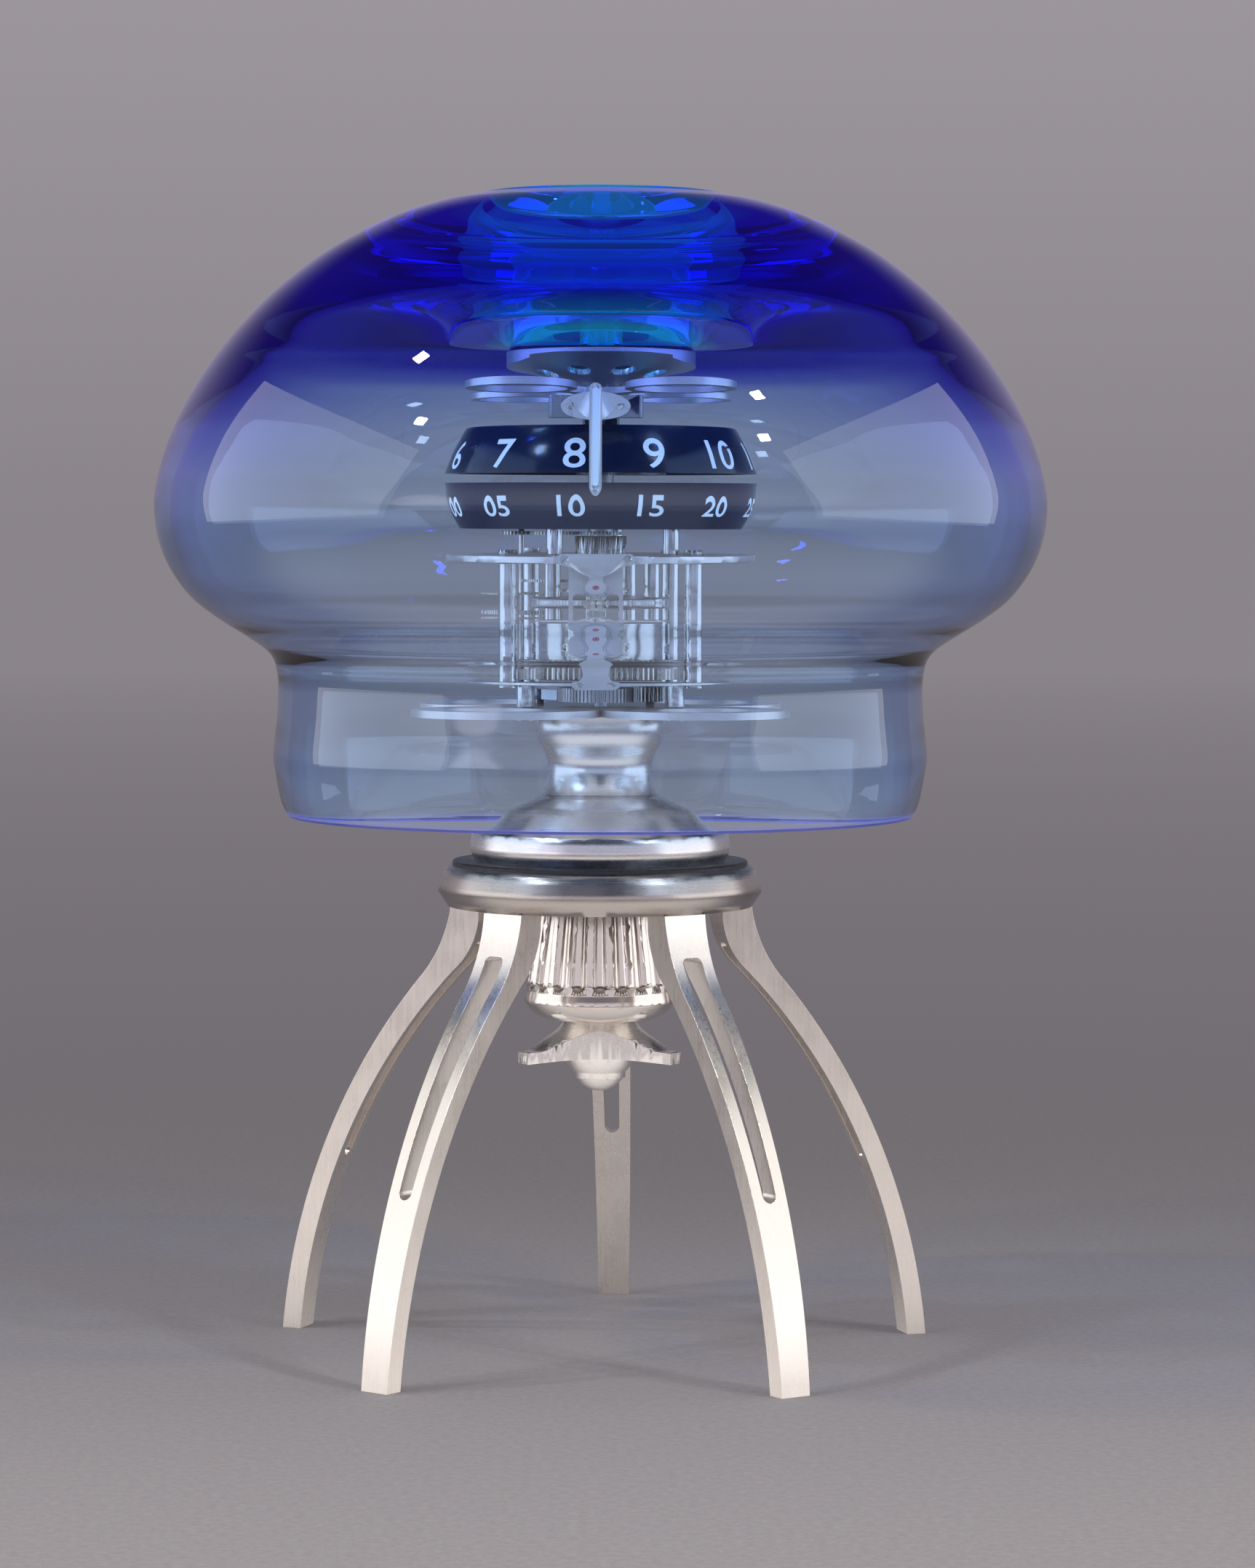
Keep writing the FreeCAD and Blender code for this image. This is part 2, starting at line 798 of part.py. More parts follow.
def facing_front(shape, x, depth, z, turn=0):
    """A copy made along +Z that now points along -Y, with its base plane at y = -depth."""
    copy = shape.copy()
    spin = Rotation(Vector(0, 0, 1), turn)
    tilt = Rotation(Vector(1, 0, 0), QUARTER_TURN)
    copy.Placement = Placement(Vector(float(x), -float(depth), float(z)), tilt * spin)
    return copy


def polar(distance, angle):
    """The x and y of a place at a distance and an angle in degrees from the axis."""
    turn = math.radians(float(angle))
    return float(distance) * math.cos(turn), float(distance) * math.sin(turn)


def slotted_screw(radius, length, head_radius, head_height, slot_width, slot_depth):
    """A cheese-head screw with its head above z = 0 and its shank below."""
    shank = cylinder(radius, length, -float(length))
    head = cylinder(head_radius, head_height)
    slot_bottom = float(head_height) - float(slot_depth)
    slot_corner = Vector(-2 * float(head_radius), -float(slot_width) / 2, slot_bottom)
    slot = Part.makeBox(4 * float(head_radius), float(slot_width), 2 * float(slot_depth), slot_corner)
    return head.fuse(shank).cut(slot).removeSplitter()


# Gears
# Teeth follow the involute of a 20 degree pressure angle. Their height and thickness are shares of the
# module, low enough for a pinion of ten leaves to run without undercut.
PRESSURE_ANGLE = math.radians(20)
ADDENDUM_SHARE = 0.72
DEDENDUM_SHARE = 0.95
BACKLASH_SHARE = 0.14
FULL_FLANK_TEETH = 48


def involute(angle):
    return math.tan(angle) - angle


def half_tooth_angle(teeth, pitch_radius, radius, module):
    """Half the angle that a tooth takes at a radius."""
    base_radius = pitch_radius * math.cos(PRESSURE_ANGLE)
    at_pitch = math.pi / (2 * teeth) - BACKLASH_SHARE * module / (2 * pitch_radius)
    if radius <= base_radius:
        return at_pitch + involute(PRESSURE_ANGLE)
    return at_pitch + involute(PRESSURE_ANGLE) - involute(math.acos(base_radius / radius))


def gear_outline(teeth, module, turn=0):
    """The closed wire of a spur gear with the middle of a tooth at the angle turn, in degrees."""
    teeth = round(float(teeth))
    module = float(module)
    pitch_radius = teeth * module / 2
    root = pitch_radius - DEDENDUM_SHARE * module
    tip = pitch_radius + ADDENDUM_SHARE * module
    radii = [root, tip]
    if teeth <= FULL_FLANK_TEETH:
        radii = [root, (root + pitch_radius) / 2, pitch_radius, tip]
    points = []
    for tooth in range(teeth):
        middle = math.radians(turn) + 2 * math.pi * tooth / teeth
        spread = [(radius, half_tooth_angle(teeth, pitch_radius, radius, module)) for radius in radii]
        for radius, half in spread:
            points.append(Vector(radius * math.cos(middle - half), radius * math.sin(middle - half), 0))
        for radius, half in reversed(spread):
            points.append(Vector(radius * math.cos(middle + half), radius * math.sin(middle + half), 0))
    return Part.makePolygon(points + points[:1])


def gear(teeth, module, thickness, bore, turn=0, base=0):
    """A plain spur gear with a bore."""
    solid = Part.Face(gear_outline(teeth, module, turn)).extrude(Vector(0, 0, float(thickness)))
    if float(bore) > 0:
        overrun = float(S.cut_overrun)
        solid = solid.cut(cylinder(bore, float(thickness) + 2 * overrun, -overrun))
    solid.translate(Vector(0, 0, float(base)))
    return solid


def crossings(rim_radius, thickness, count, base=0, turn=0):
    """The windows between a wheel's spokes, to be cut from it."""
    hub = float(S.wheel_hub_radius)
    height = float(thickness) + 2 * float(S.cut_overrun)
    low = float(base) - float(S.cut_overrun)
    ring = cylinder(rim_radius, height, low).cut(cylinder(hub, height, low))
    width = float(S.wheel_spoke_width)
    spokes = []
    for spoke in range(count):
        bar = Part.makeBox(2 * float(rim_radius), width, height, Vector(0, -width / 2, low))
        spokes.append(moved(bar, turn=turn + FULL_TURN * spoke / count))
    return ring.cut(Part.makeCompound(spokes))


def wheel(teeth, module, thickness, spokes, turn=0, base=0):
    """A wheel with spokes and a solid hub, with its lower face at base."""
    rim = float(teeth) * float(module) / 2 - float(module) - float(S.wheel_rim)
    blank = gear(teeth, module, thickness, 0, turn, base)
    return blank.cut(crossings(rim, thickness, spokes, base))


def meshed_turn(turn, teeth, mate_teeth, direction):
    """The turn of a mate that lies in a direction from a gear, so that a tooth meets a gap."""
    return direction + 180 - (turn - direction) * float(teeth) / float(mate_teeth) - 180 / float(mate_teeth)


def direction_between(start, end):
    """The angle in degrees of the way from one place to another."""
    return math.degrees(math.atan2(end[1] - start[1], end[0] - start[0]))


def meeting_place(first, first_distance, second, second_distance):
    """The place at given distances from two others, on the left of the way between them."""
    gap_x = second[0] - first[0]
    gap_y = second[1] - first[1]
    gap = math.hypot(gap_x, gap_y)
    along = (gap ** 2 + first_distance ** 2 - second_distance ** 2) / (2 * gap)
    aside = math.sqrt(max(first_distance ** 2 - along ** 2, 0))
    return (
        first[0] + along * gap_x / gap - aside * gap_y / gap,
        first[1] + along * gap_y / gap + aside * gap_x / gap,
    )


def pitch(teeth, module):
    return float(teeth) * float(module) / 2


# Places of the arbors
AXIS = (0.0, 0.0)
barrel_reach = pitch(S.barrel_teeth, S.barrel_module) + pitch(S.pinion_leaves, S.barrel_module)
centre_place = polar(barrel_reach, S.centre_arbor_angle)
third_reach = pitch(S.centre_teeth, S.centre_module) + pitch(S.pinion_leaves, S.centre_module)
third_step = polar(third_reach, S.third_direction)
third_place = (centre_place[0] + third_step[0], centre_place[1] + third_step[1])
fourth_reach = pitch(S.third_teeth, S.third_module) + pitch(S.pinion_leaves, S.third_module)
fourth_step = polar(fourth_reach, S.fourth_direction)
fourth_place = (third_place[0] + fourth_step[0], third_place[1] + fourth_step[1])
idler_reach = pitch(S.motion_gear_teeth, S.motion_gear_module) + pitch(S.idler_teeth, S.motion_gear_module)
idler_place = meeting_place(AXIS, idler_reach, centre_place, idler_reach)
setting_reach = pitch(S.winding_teeth, S.winding_module) + pitch(S.setting_teeth, S.winding_module)
setting_place = polar(setting_reach, S.setting_angle)
reduction_reach = (
    pitch(S.minute_pinion_teeth, S.motion_gear_module) + pitch(S.reduction_teeth, S.motion_gear_module)
)
reduction_place = polar(reduction_reach, S.reduction_angle)
hour_gear_module = 2 * reduction_reach / float(S.hour_gear_teeth + S.reduction_pinion_teeth)
escape_x = fourth_place[0]
escape_z = upper_plate_base - S.escape_arbor_drop
fork_z = escape_z - S.fork_pivot_drop
balance_z = escape_z - S.balance_drop
bridge_pillar_places = [polar(S.bridge_pillar_circle_radius, angle) for angle in BRIDGE_PILLAR_ANGLES]
ring_pillar_places = [
    (-float(S.ring_pillar_left_x), -float(S.ring_pillar_left_y)),
    (float(S.ring_pillar_right_x), -float(S.ring_pillar_right_y)),
    (float(S.ring_pillar_rear_x), float(S.ring_pillar_rear_y)),
]
movement_pillar_places = [
    (-S.front_pillar_x, -S.front_pillar_y),
    (S.front_pillar_x, -S.front_pillar_y),
    (-S.rear_pillar_x, S.rear_pillar_y),
    (S.rear_pillar_x, S.rear_pillar_y),
]
lower_pillar_places = [
    (-S.lower_pillar_x, -S.lower_pillar_y),
    (S.lower_pillar_x, -S.lower_pillar_y),
    (-S.lower_pillar_x, S.lower_pillar_y),
    (S.lower_pillar_x, S.lower_pillar_y),
]
screw_hole = S.plate_screw_radius + S.running_clearance
pivot_hole = S.pivot_radius + S.running_clearance
tie_hole = S.tie_tube_radius + S.seat_clearance

# Legs

LEG_NAMES = ["leg_right", "leg_rear", "leg_left", "leg_front_left", "leg_front_right"]
leg_screw_distance = S.leg_top_outer_radius - S.leg_screw_inset


def make_leg(label, turn):
    """A curved leg that tapers to its foot, with a long slot through it."""
    body = new_body(label)
    side = new_sketch(body, "XZ_Plane", "SideOutline")
    top_inner = S.leg_top_outer_radius - S.leg_top_thickness
    foot_inner = S.foot_outer_radius - S.foot_thickness
    knee_height = S.leg_height * S.leg_knee_share
    inner_knee_height = S.leg_height * S.leg_inner_knee_share
    slot_top = S.leg_height * S.slot_top_share
    slot_bottom = S.leg_height * S.slot_bottom_share
    draw_outline(side, [
        (top_inner, S.leg_height),
        (top_inner, S.leg_height - S.leg_straight_length),
        (S.leg_inner_knee_radius, inner_knee_height, "right", S.leg_inner_shoulder_curve),
        (foot_inner, 0, "left", S.leg_height * S.leg_inner_long_curve_share),
        (S.foot_outer_radius, 0),
        (S.leg_knee_radius, knee_height, "right", S.leg_height * S.leg_long_curve_share),
        (S.leg_top_outer_radius, S.leg_height, "left", S.leg_shoulder_curve),
    ])
    pad_sketch(body, side, S.leg_top_width, centred=True)
    taper = new_sketch(body, "YZ_Plane", "Taper")
    outside = S.leg_top_width / 2 + S.cut_overrun
    for sign in (1, -1):
        draw_outline(taper, [
            (sign * S.foot_width / 2, 0),
            (sign * S.leg_top_width / 2, S.leg_height),
            (sign * outside, S.leg_height),
            (sign * outside, 0),
        ])
    cut_through(body, taper, "TaperCut")
    slot = new_sketch(body, "YZ_Plane", "SlotOutline")
    top_half = S.slot_top_width / 2
    bottom_half = S.slot_bottom_width / 2
    draw_outline(slot, [
        (-bottom_half, slot_bottom + bottom_half),
        (bottom_half, slot_bottom + bottom_half, "right", bottom_half * S.slot_foot_curve_share),
        (top_half, slot_top - S.slot_corner),
        (top_half - S.slot_corner, slot_top, "right", S.slot_corner),
        (S.slot_corner - top_half, slot_top),
        (-top_half, slot_top - S.slot_corner, "right", S.slot_corner),
    ])
    cut = cut_through(body, slot, "SlotCut")
    doc.recompute()
    bevelled = []
    outer_half = float(S.foot_width) / 2 - float(S.leg_edge_chamfer)
    inner_half = float(S.slot_top_width) / 2 + float(S.leg_edge_chamfer)
    slot_low = float(slot_bottom) - float(S.leg_edge_chamfer)
    slot_high = float(slot_top) + float(S.leg_edge_chamfer)
    for index, edge in enumerate(cut.Shape.Edges, 1):
        box = edge.BoundBox
        widths = (abs(box.YMin), abs(box.YMax))
        along_side = min(widths) > outer_half and box.ZLength > float(S.leg_straight_length) / 2
        in_slot = max(widths) < inner_half and box.ZMin > slot_low and box.ZMax < slot_high
        if along_side or in_slot:
            bevelled.append(f"Edge{index}")
    bevel = body.newObject("PartDesign::Chamfer", "Bevel")
    bevel.Base = (cut, bevelled)
    bevel.Size = float(S.leg_edge_chamfer)
    bevel.setExpression("Size", S.leg_edge_chamfer.formula)
    hole_depth = S.leg_screw_depth + S.cut_overrun
    hole_radius = S.leg_screw_radius + S.running_clearance
    hole_bottom = S.leg_height - S.leg_screw_depth - S.running_clearance
    drill(body, "ScrewHole", hole_radius, hole_depth, leg_screw_distance, hole_bottom)
    body.Placement = Placement(Vector(0, 0, 0), Rotation(Vector(0, 0, 1), turn))
    return body


leg_angles = []
for number, name in enumerate(LEG_NAMES):
    leg_angles.append(float(S.first_leg_angle) + FULL_TURN * number / float(S.leg_count))
    make_leg(name, leg_angles[-1])


def hexagon(radius):
    return [polar(radius, FULL_TURN * corner / HEXAGON_SIDES) for corner in range(HEXAGON_SIDES)]


def make_leg_screws():
    """Socket-head screws that come down through the base ring into the legs."""
    head_base = ring_top - S.leg_screw_head_height - S.running_clearance
    shank_length = head_base - ring_base + S.leg_screw_depth
    shank = cylinder(S.leg_screw_radius, shank_length, head_base - shank_length)
    head = cylinder(S.leg_screw_head_radius, S.leg_screw_head_height, head_base)
    socket_base = head_base + S.leg_screw_head_height - S.leg_screw_hex_depth
    socket = prism(hexagon(S.leg_screw_hex_radius), S.leg_screw_hex_depth + S.cut_overrun, socket_base)
    screw = head.fuse(shank).cut(socket).removeSplitter()
    copies = []
    for angle in leg_angles:
        x, y = polar(leg_screw_distance, angle)
        copies.append(moved(screw, x, y))
    return copies


leg_screws = make_leg_screws()

# Turned base, from the legs up


def make_base_ring():
    """The heavy ring that the legs are screwed to."""
    body = new_body("base_ring")
    turning = turn_profile(body, [
        (tie_hole, ring_base),
        (S.base_ring_bottom_radius, ring_base),
        (S.base_ring_widest_radius, ring_base + S.base_ring_lower_chamfer),
        (S.base_ring_band_radius, ring_top - S.base_ring_upper_chamfer),
        (S.base_ring_top_radius, ring_top),
        (tie_hole, ring_top),
    ])
    doc.recompute()
    height = S.base_ring_height + 2 * S.cut_overrun
    hole_radius = S.leg_screw_radius + S.running_clearance
    hole = drill(body, "ScrewHole", hole_radius, height, leg_screw_distance, ring_base - S.cut_overrun)
    sink_depth = S.leg_screw_head_height + 2 * S.running_clearance
    sink_radius = S.leg_screw_head_radius + S.running_clearance
    sink = drill(
        body, "HeadSink", sink_radius, sink_depth + S.cut_overrun, leg_screw_distance, ring_top - sink_depth
    )
    pattern = body.newObject("PartDesign::PolarPattern", "ScrewPattern")
    pattern.Originals = [hole, sink]
    pattern.Axis = (body_plane(body, "Z_Axis"), [""])
    pattern.Angle = FULL_TURN
    pattern.Occurrences = round(float(S.leg_count))
    body.Tip = pattern
    body.Placement = Placement(Vector(0, 0, 0), Rotation(Vector(0, 0, 1), float(S.first_leg_angle)))
    return turning


make_base_ring()

turned("black_spacer", [
    (tie_hole, ring_top),
    (S.spacer_radius, ring_top),
    (S.spacer_radius, spacer_top - S.spacer_edge),
    (S.spacer_radius - S.spacer_edge, spacer_top),
    (tie_hole, spacer_top),
])

foot_band_base = spacer_top + S.foot_turning_undercut
foot_band_top = foot_band_base + S.foot_turning_band_height
foot_steep_base = foot_band_top + S.foot_turning_band_step
foot_ledge = foot_steep_base + S.foot_turning_steep_height
turned("flared_foot", [
    (tie_hole, spacer_top),
    (S.foot_turning_bottom_radius, spacer_top),
    (S.foot_turning_widest_radius, foot_band_base),
    (S.foot_turning_band_radius, foot_band_top),
    (S.foot_turning_steep_radius, foot_steep_base),
    (S.foot_turning_ledge_radius, foot_ledge),
    (S.stem_base_radius, foot_top),
    (tie_hole, foot_top),
])

turned("stem", [
    (tie_hole, foot_top),
    (S.stem_base_radius, foot_top),
    (S.stem_base_radius, foot_top + S.stem_base_height, "left", S.stem_neck_curve),
    (S.stem_bulb_radius, foot_top + S.stem_bulb_height, "right", S.stem_bulb_curve),
    (S.stem_top_radius, stem_top, "right", S.stem_bulb_curve),
    (tie_hole, stem_top),
])

# The tube that ties the base together, with the winding shaft inside it
tie_bore = S.shaft_radius + S.running_clearance
tie_head_base = lip_base + S.running_clearance
turned("tie_tube", [
    (tie_bore, tie_head_base),
    (S.tie_head_radius, tie_head_base),
    (S.tie_head_radius, tie_head_base + S.tie_head_height),
    (S.tie_tube_radius, tie_head_base + S.tie_head_height),
    (S.tie_tube_radius, crown_plate_top),
    (tie_bore, crown_plate_top),
])


def make_fluted_sleeve():
    """The cone under the base ring, with round-ended flutes that widen downwards."""
    blank = revolved([
        (tie_hole, sleeve_base),
        (S.sleeve_bottom_radius, sleeve_base),
        (S.sleeve_top_radius, ring_base),
        (tie_hole, ring_base),
    ])
    depth = float(S.flute_depth)
    bottom_half = float(S.flute_bottom_half_width)
    top_half = float(S.flute_top_half_width)
    bottom_cutter = (bottom_half ** 2 + depth ** 2) / (2 * depth)
    top_cutter = (top_half ** 2 + depth ** 2) / (2 * depth)
    bottom_z = float(sleeve_base + S.flute_end_margin) + bottom_half
    top_z = float(ring_base + S.cut_overrun)
    slope = float(S.sleeve_bottom_radius - S.sleeve_top_radius) / float(S.sleeve_height)
    bottom_r = float(S.sleeve_bottom_radius) - slope * (bottom_z - float(sleeve_base))
    bottom_r += bottom_cutter - depth
    top_r = float(S.sleeve_top_radius) - slope * float(S.cut_overrun) + top_cutter - depth
    start = Vector(bottom_r, 0, bottom_z)
    way = Vector(top_r, 0, top_z) - start
    cutter = Part.makeCone(bottom_cutter, top_cutter, way.Length, start, way)
    cutter = cutter.fuse(Part.makeSphere(bottom_cutter, start))
    cutters = []
    for flute in range(round(float(S.flute_count))):
        cutters.append(moved(cutter, turn=FULL_TURN * flute / float(S.flute_count) - QUARTER_TURN))
    feature("fluted_sleeve", blank.cut(cutters))


make_fluted_sleeve()

lip_band_base = sleeve_base - S.lip_band_height
turned("sleeve_lip", [
    (tie_hole, sleeve_base),
    (S.sleeve_bottom_radius, sleeve_base),
    (S.lip_radius, lip_band_base),
    (S.lip_bottom_radius, lip_base, "left", S.lip_bowl_curve),
    (S.tie_head_radius + S.running_clearance, lip_base),
    (S.tie_head_radius + S.running_clearance, tie_head_base + S.tie_head_height + S.running_clearance),
    (tie_hole, tie_head_base + S.tie_head_height + S.running_clearance),
])

# Winding knob


def make_winding_knob():
    """The three-arm knob: a drooping bell cut to a three-pointed outline."""
    tip_base = knob_base - S.knob_arm_droop
    tip_top = tip_base + S.knob_tip_thickness
    bore = S.shaft_radius + S.seat_clearance
    reach = S.knob_arm_radius + S.cut_overrun
    flare_z = knob_top - S.knob_flare_height
    lines = [
        (bore, knob_base),
        (S.cap_ball_radius, knob_base),
        (reach, tip_base),
        (reach, tip_top),
        (S.knob_arm_crown_radius, tip_top + S.knob_arm_crown_rise),
        (S.knob_flare_radius, flare_z),
    ]
    points = [Vector(float(radius), 0, float(height)) for radius, height in lines]
    neck = Vector(float(S.knob_neck_radius), 0, float(knob_top))
    inner_top = Vector(float(bore), 0, float(knob_top))
    chord = neck - points[-1]
    sag = Vector(chord.z, 0, -chord.x).normalize() * (chord.Length ** 2 / (8 * float(S.knob_flare_curve)))
    flare = Part.Arc(points[-1], (points[-1] + neck) / 2 - sag, neck).toShape()
    edges = [Part.makeLine(first, second) for first, second in zip(points, points[1:])]
    edges += [flare, Part.makeLine(neck, inner_top), Part.makeLine(inner_top, points[0])]
    bell = Part.Face(Part.Wire(edges)).revolve(Vector(0, 0, 0), Vector(0, 0, 1), FULL_TURN)
    half_width = float(S.knob_arm_half_width)
    tip_distance = math.sqrt(float(S.knob_arm_radius) ** 2 - half_width ** 2)
    sides = []
    for arm in range(3):
        turn = Rotation(Vector(0, 0, 1), 90 + 120 * arm)
        next_turn = Rotation(Vector(0, 0, 1), 90 + 120 * (arm + 1))
        middle_turn = Rotation(Vector(0, 0, 1), 150 + 120 * arm)
        before = turn.multVec(Vector(tip_distance, -half_width, 0))
        outermost = turn.multVec(Vector(float(S.knob_arm_radius), 0, 0))
        after = turn.multVec(Vector(tip_distance, half_width, 0))
        waist = middle_turn.multVec(Vector(float(S.knob_waist_radius), 0, 0))
        following = next_turn.multVec(Vector(tip_distance, -half_width, 0))
        sides.append(Part.Arc(before, outermost, after).toShape())
        sides.append(Part.Arc(after, waist, following).toShape())
    outline = Part.Face(Part.Wire(sides))
    outline.translate(Vector(0, 0, float(tip_base - S.cut_overrun)))
    height = S.knob_height + S.knob_arm_droop + 2 * S.cut_overrun
    star = outline.extrude(Vector(0, 0, float(height)))
    feature("winding_knob", bell.common(star).removeSplitter())


make_winding_knob()

cap_collar_top = knob_base - S.cap_ball_height
cap_collar_base = cap_collar_top - S.cap_collar_height
cap_tip = cap_collar_base - S.cap_tip_height
cap_bore = S.shaft_radius + S.seat_clearance
cap_bore_top = knob_base - S.cap_bore_depth
turned("knob_cap", [
    (0, cap_tip),
    (S.cap_tip_radius, cap_collar_base, "right", S.cap_tip_curve),
    (S.cap_collar_radius, cap_collar_base),
    (S.cap_collar_radius, cap_collar_top),
    (S.cap_ball_radius, knob_base, "right", S.cap_ball_curve * S.cap_ball_lower_share),
    (cap_bore, knob_base),
    (cap_bore, cap_bore_top),
    (0, cap_bore_top),
])

winding_wheel_base = crown_plate_top + S.winding_wheel_rise
barrel_arbor_base = lower_plate_base - S.barrel_floor_gap
shaft_top = barrel_arbor_base + S.barrel_socket_depth - S.running_clearance
turned("winding_shaft", [
    (0, cap_bore_top + S.running_clearance),
    (S.shaft_radius, cap_bore_top + S.running_clearance),
    (S.shaft_radius, shaft_top),
    (0, shaft_top),
])


def make_winding_wheel():
    """The wheel on the shaft under the movement."""
    solid = gear(S.winding_teeth, S.winding_module, S.winding_wheel_thickness, 0, 0, winding_wheel_base)
    rim = pitch(S.winding_teeth, S.winding_module) - float(S.winding_rim_share * S.wheel_rim)
    solid = solid.cut(crossings(rim, S.winding_wheel_thickness, WINDING_SPOKES, winding_wheel_base))
    hub_top = barrel_arbor_base - S.running_clearance
    hub = cylinder(S.winding_hub_radius, hub_top - winding_wheel_base, winding_wheel_base)
    bore = cylinder(S.shaft_radius + S.seat_clearance, S.lower_gap, winding_wheel_base - S.cut_overrun)
    feature("winding_wheel", solid.fuse(hub).cut(bore).removeSplitter())


make_winding_wheel()
setting_turn = meshed_turn(0, S.winding_teeth, S.setting_teeth, float(S.setting_angle))
setting_base = crown_plate_top + S.setting_wheel_rise


def make_setting_wheel():
    """The small wheel that takes the knob's turning to the hands' work, with its own pivots."""
    thickness = S.setting_wheel_thickness
    solid = gear(S.setting_teeth, S.winding_module, thickness, 0, setting_turn, setting_base)
    bottom = stem_top + S.crown_plate_thickness / 2
    top = lower_plate_top - S.lower_plate_thickness / 4
    arbor = cylinder(S.setting_arbor_radius, top - bottom, bottom)
    feature("setting_wheel", moved(solid.fuse(arbor), *setting_place))


make_setting_wheel()
click_place = polar(S.click_pivot_circle_radius, S.click_angle)


def make_click():
    """The click: a small pawl on a pin in the crown plate, with its nose at the winding wheel."""
    tip_radius = pitch(S.winding_teeth, S.winding_module) + ADDENDUM_SHARE * float(S.winding_module)
    nose = polar(tip_radius + float(S.click_tip_gap), float(S.click_angle + S.click_nose_turn))
    base = crown_plate_top + S.click_rise
    way = Vector(nose[0] - click_place[0], nose[1] - click_place[1], 0)
    side = Vector(-way.y, way.x, 0).normalize() * float(S.click_width) / 2
    start = Vector(click_place[0], click_place[1], 0)
    end = Vector(nose[0], nose[1], 0)
    arm = prism([(start + side)[:2], (start - side)[:2], end[:2]], S.click_thickness, base)
    eye = cylinder(S.click_width * S.click_eye_share, S.click_thickness, base, click_place)
    pin_base = stem_top + S.crown_plate_thickness / 2
    pin = cylinder(S.click_pin_radius, base + S.click_thickness - pin_base, pin_base, click_place)
    feature("click", arm.fuse([eye, pin]).removeSplitter())


make_click()

# Plates and pillars


def make_crown_plate():
    """The four-lobed plate on the stem, with a round window in each lobe."""
    thickness = S.crown_plate_thickness
    solid = cylinder(S.crown_plate_hub_radius, thickness, stem_top)
    lobes = []
    windows = []
    for lobe in range(LOBE_COUNT):
        angle = FULL_TURN * (lobe + 0.5) / LOBE_COUNT
        place = polar(S.crown_plate_lobe_circle_radius, angle)
        lobes.append(cylinder(S.crown_plate_lobe_radius, thickness, stem_top, place))
        windows.append(cylinder(
            S.crown_plate_window_radius,
            thickness + 2 * S.cut_overrun,
            stem_top - S.cut_overrun,
            polar(S.crown_plate_window_circle_radius, angle),
        ))
    solid = solid.fuse(lobes).cut(windows).removeSplitter()
    holes = [cylinder(tie_hole, thickness + 2 * S.cut_overrun, stem_top - S.cut_overrun)]
    for place in lower_pillar_places:
        holes.append(cylinder(screw_hole, thickness + 2 * S.cut_overrun, stem_top - S.cut_overrun, place))
    blind_base = stem_top + thickness / 2 - S.running_clearance
    pin_hole = S.click_pin_radius + S.running_clearance
    holes.append(cylinder(pin_hole, thickness, blind_base, click_place))
    setting_hole = S.setting_arbor_radius + S.running_clearance
    holes.append(cylinder(setting_hole, thickness, blind_base, setting_place))
    feature("crown_plate", solid.cut(holes))


make_crown_plate()


def pillar(radius, length, base, place):
    """A plain pillar with broken edges and a screw hole in each end."""
    solid = cylinder(radius, length, base, place)
    ends = [edge for edge in solid.Edges if edge.Curve.TypeId == "Part::GeomCircle"]
    solid = solid.makeChamfer(float(S.pillar_edge), ends)
    depth = S.plate_screw_length
    bottom_hole = cylinder(screw_hole, depth + S.cut_overrun, base - S.cut_overrun, place)
    top_hole = cylinder(screw_hole, depth + S.cut_overrun, base + length - depth, place)
    return solid.cut([bottom_hole, top_hole])


def pillar_group(label, groups):
    """Pillars of one kind as one node: each group is (radius, length, base, places)."""
    solids = []
    for radius, length, base, places in groups:
        solids += [pillar(radius, length, base, place) for place in places]
    feature(label, Part.makeCompound(solids))


pillar_group("lower_pillars", [(S.pillar_radius, S.lower_gap, crown_plate_top, lower_pillar_places)])
pillar_group("movement_pillars", [
    (S.pillar_radius, S.movement_gap, lower_plate_top, movement_pillar_places),
])
pillar_group("bridge_pillars", [
    (S.bridge_pillar_radius, upper_plate_base - bridge_top, bridge_top, bridge_pillar_places),
    (S.bridge_pillar_radius, S.motion_bridge_gap, upper_plate_top, ring_pillar_places),
])


def make_frame_screws():
    """The slotted screws that hold the plates to their pillars, in one piece with the leg screws."""
    radius = S.plate_screw_radius
    head = S.plate_screw_head_radius
    height = S.plate_screw_head_height
    copies = list(leg_screws)

    def add(places, seat, plate_thickness, upward):
        length = float(plate_thickness) + float(S.plate_screw_length - S.screw_end_gap)
        screw = slotted_screw(radius, length, head, height, S.screw_slot_width, S.screw_slot_depth)
        for number, place in enumerate(places):
            turned_screw = screw.copy()
            rotation = Rotation(Vector(0, 0, 1), float(S.first_slot_turn + S.slot_turn_step * number))
            if not upward:
                rotation = rotation * Rotation(Vector(1, 0, 0), HALF_TURN)
            base = Vector(float(place[0]), float(place[1]), float(seat))
            turned_screw.Placement = Placement(base, rotation)
            copies.append(turned_screw)

    add(movement_pillar_places, upper_plate_top, S.upper_plate_thickness, True)
    add(movement_pillar_places, lower_plate_base, S.lower_plate_thickness, False)
    add(lower_pillar_places, stem_top, S.crown_plate_thickness, False)
    add(ring_pillar_places, motion_bridge_top, S.motion_bridge_thickness, True)
    feature("frame_screws", Part.makeCompound(copies))


make_frame_screws()

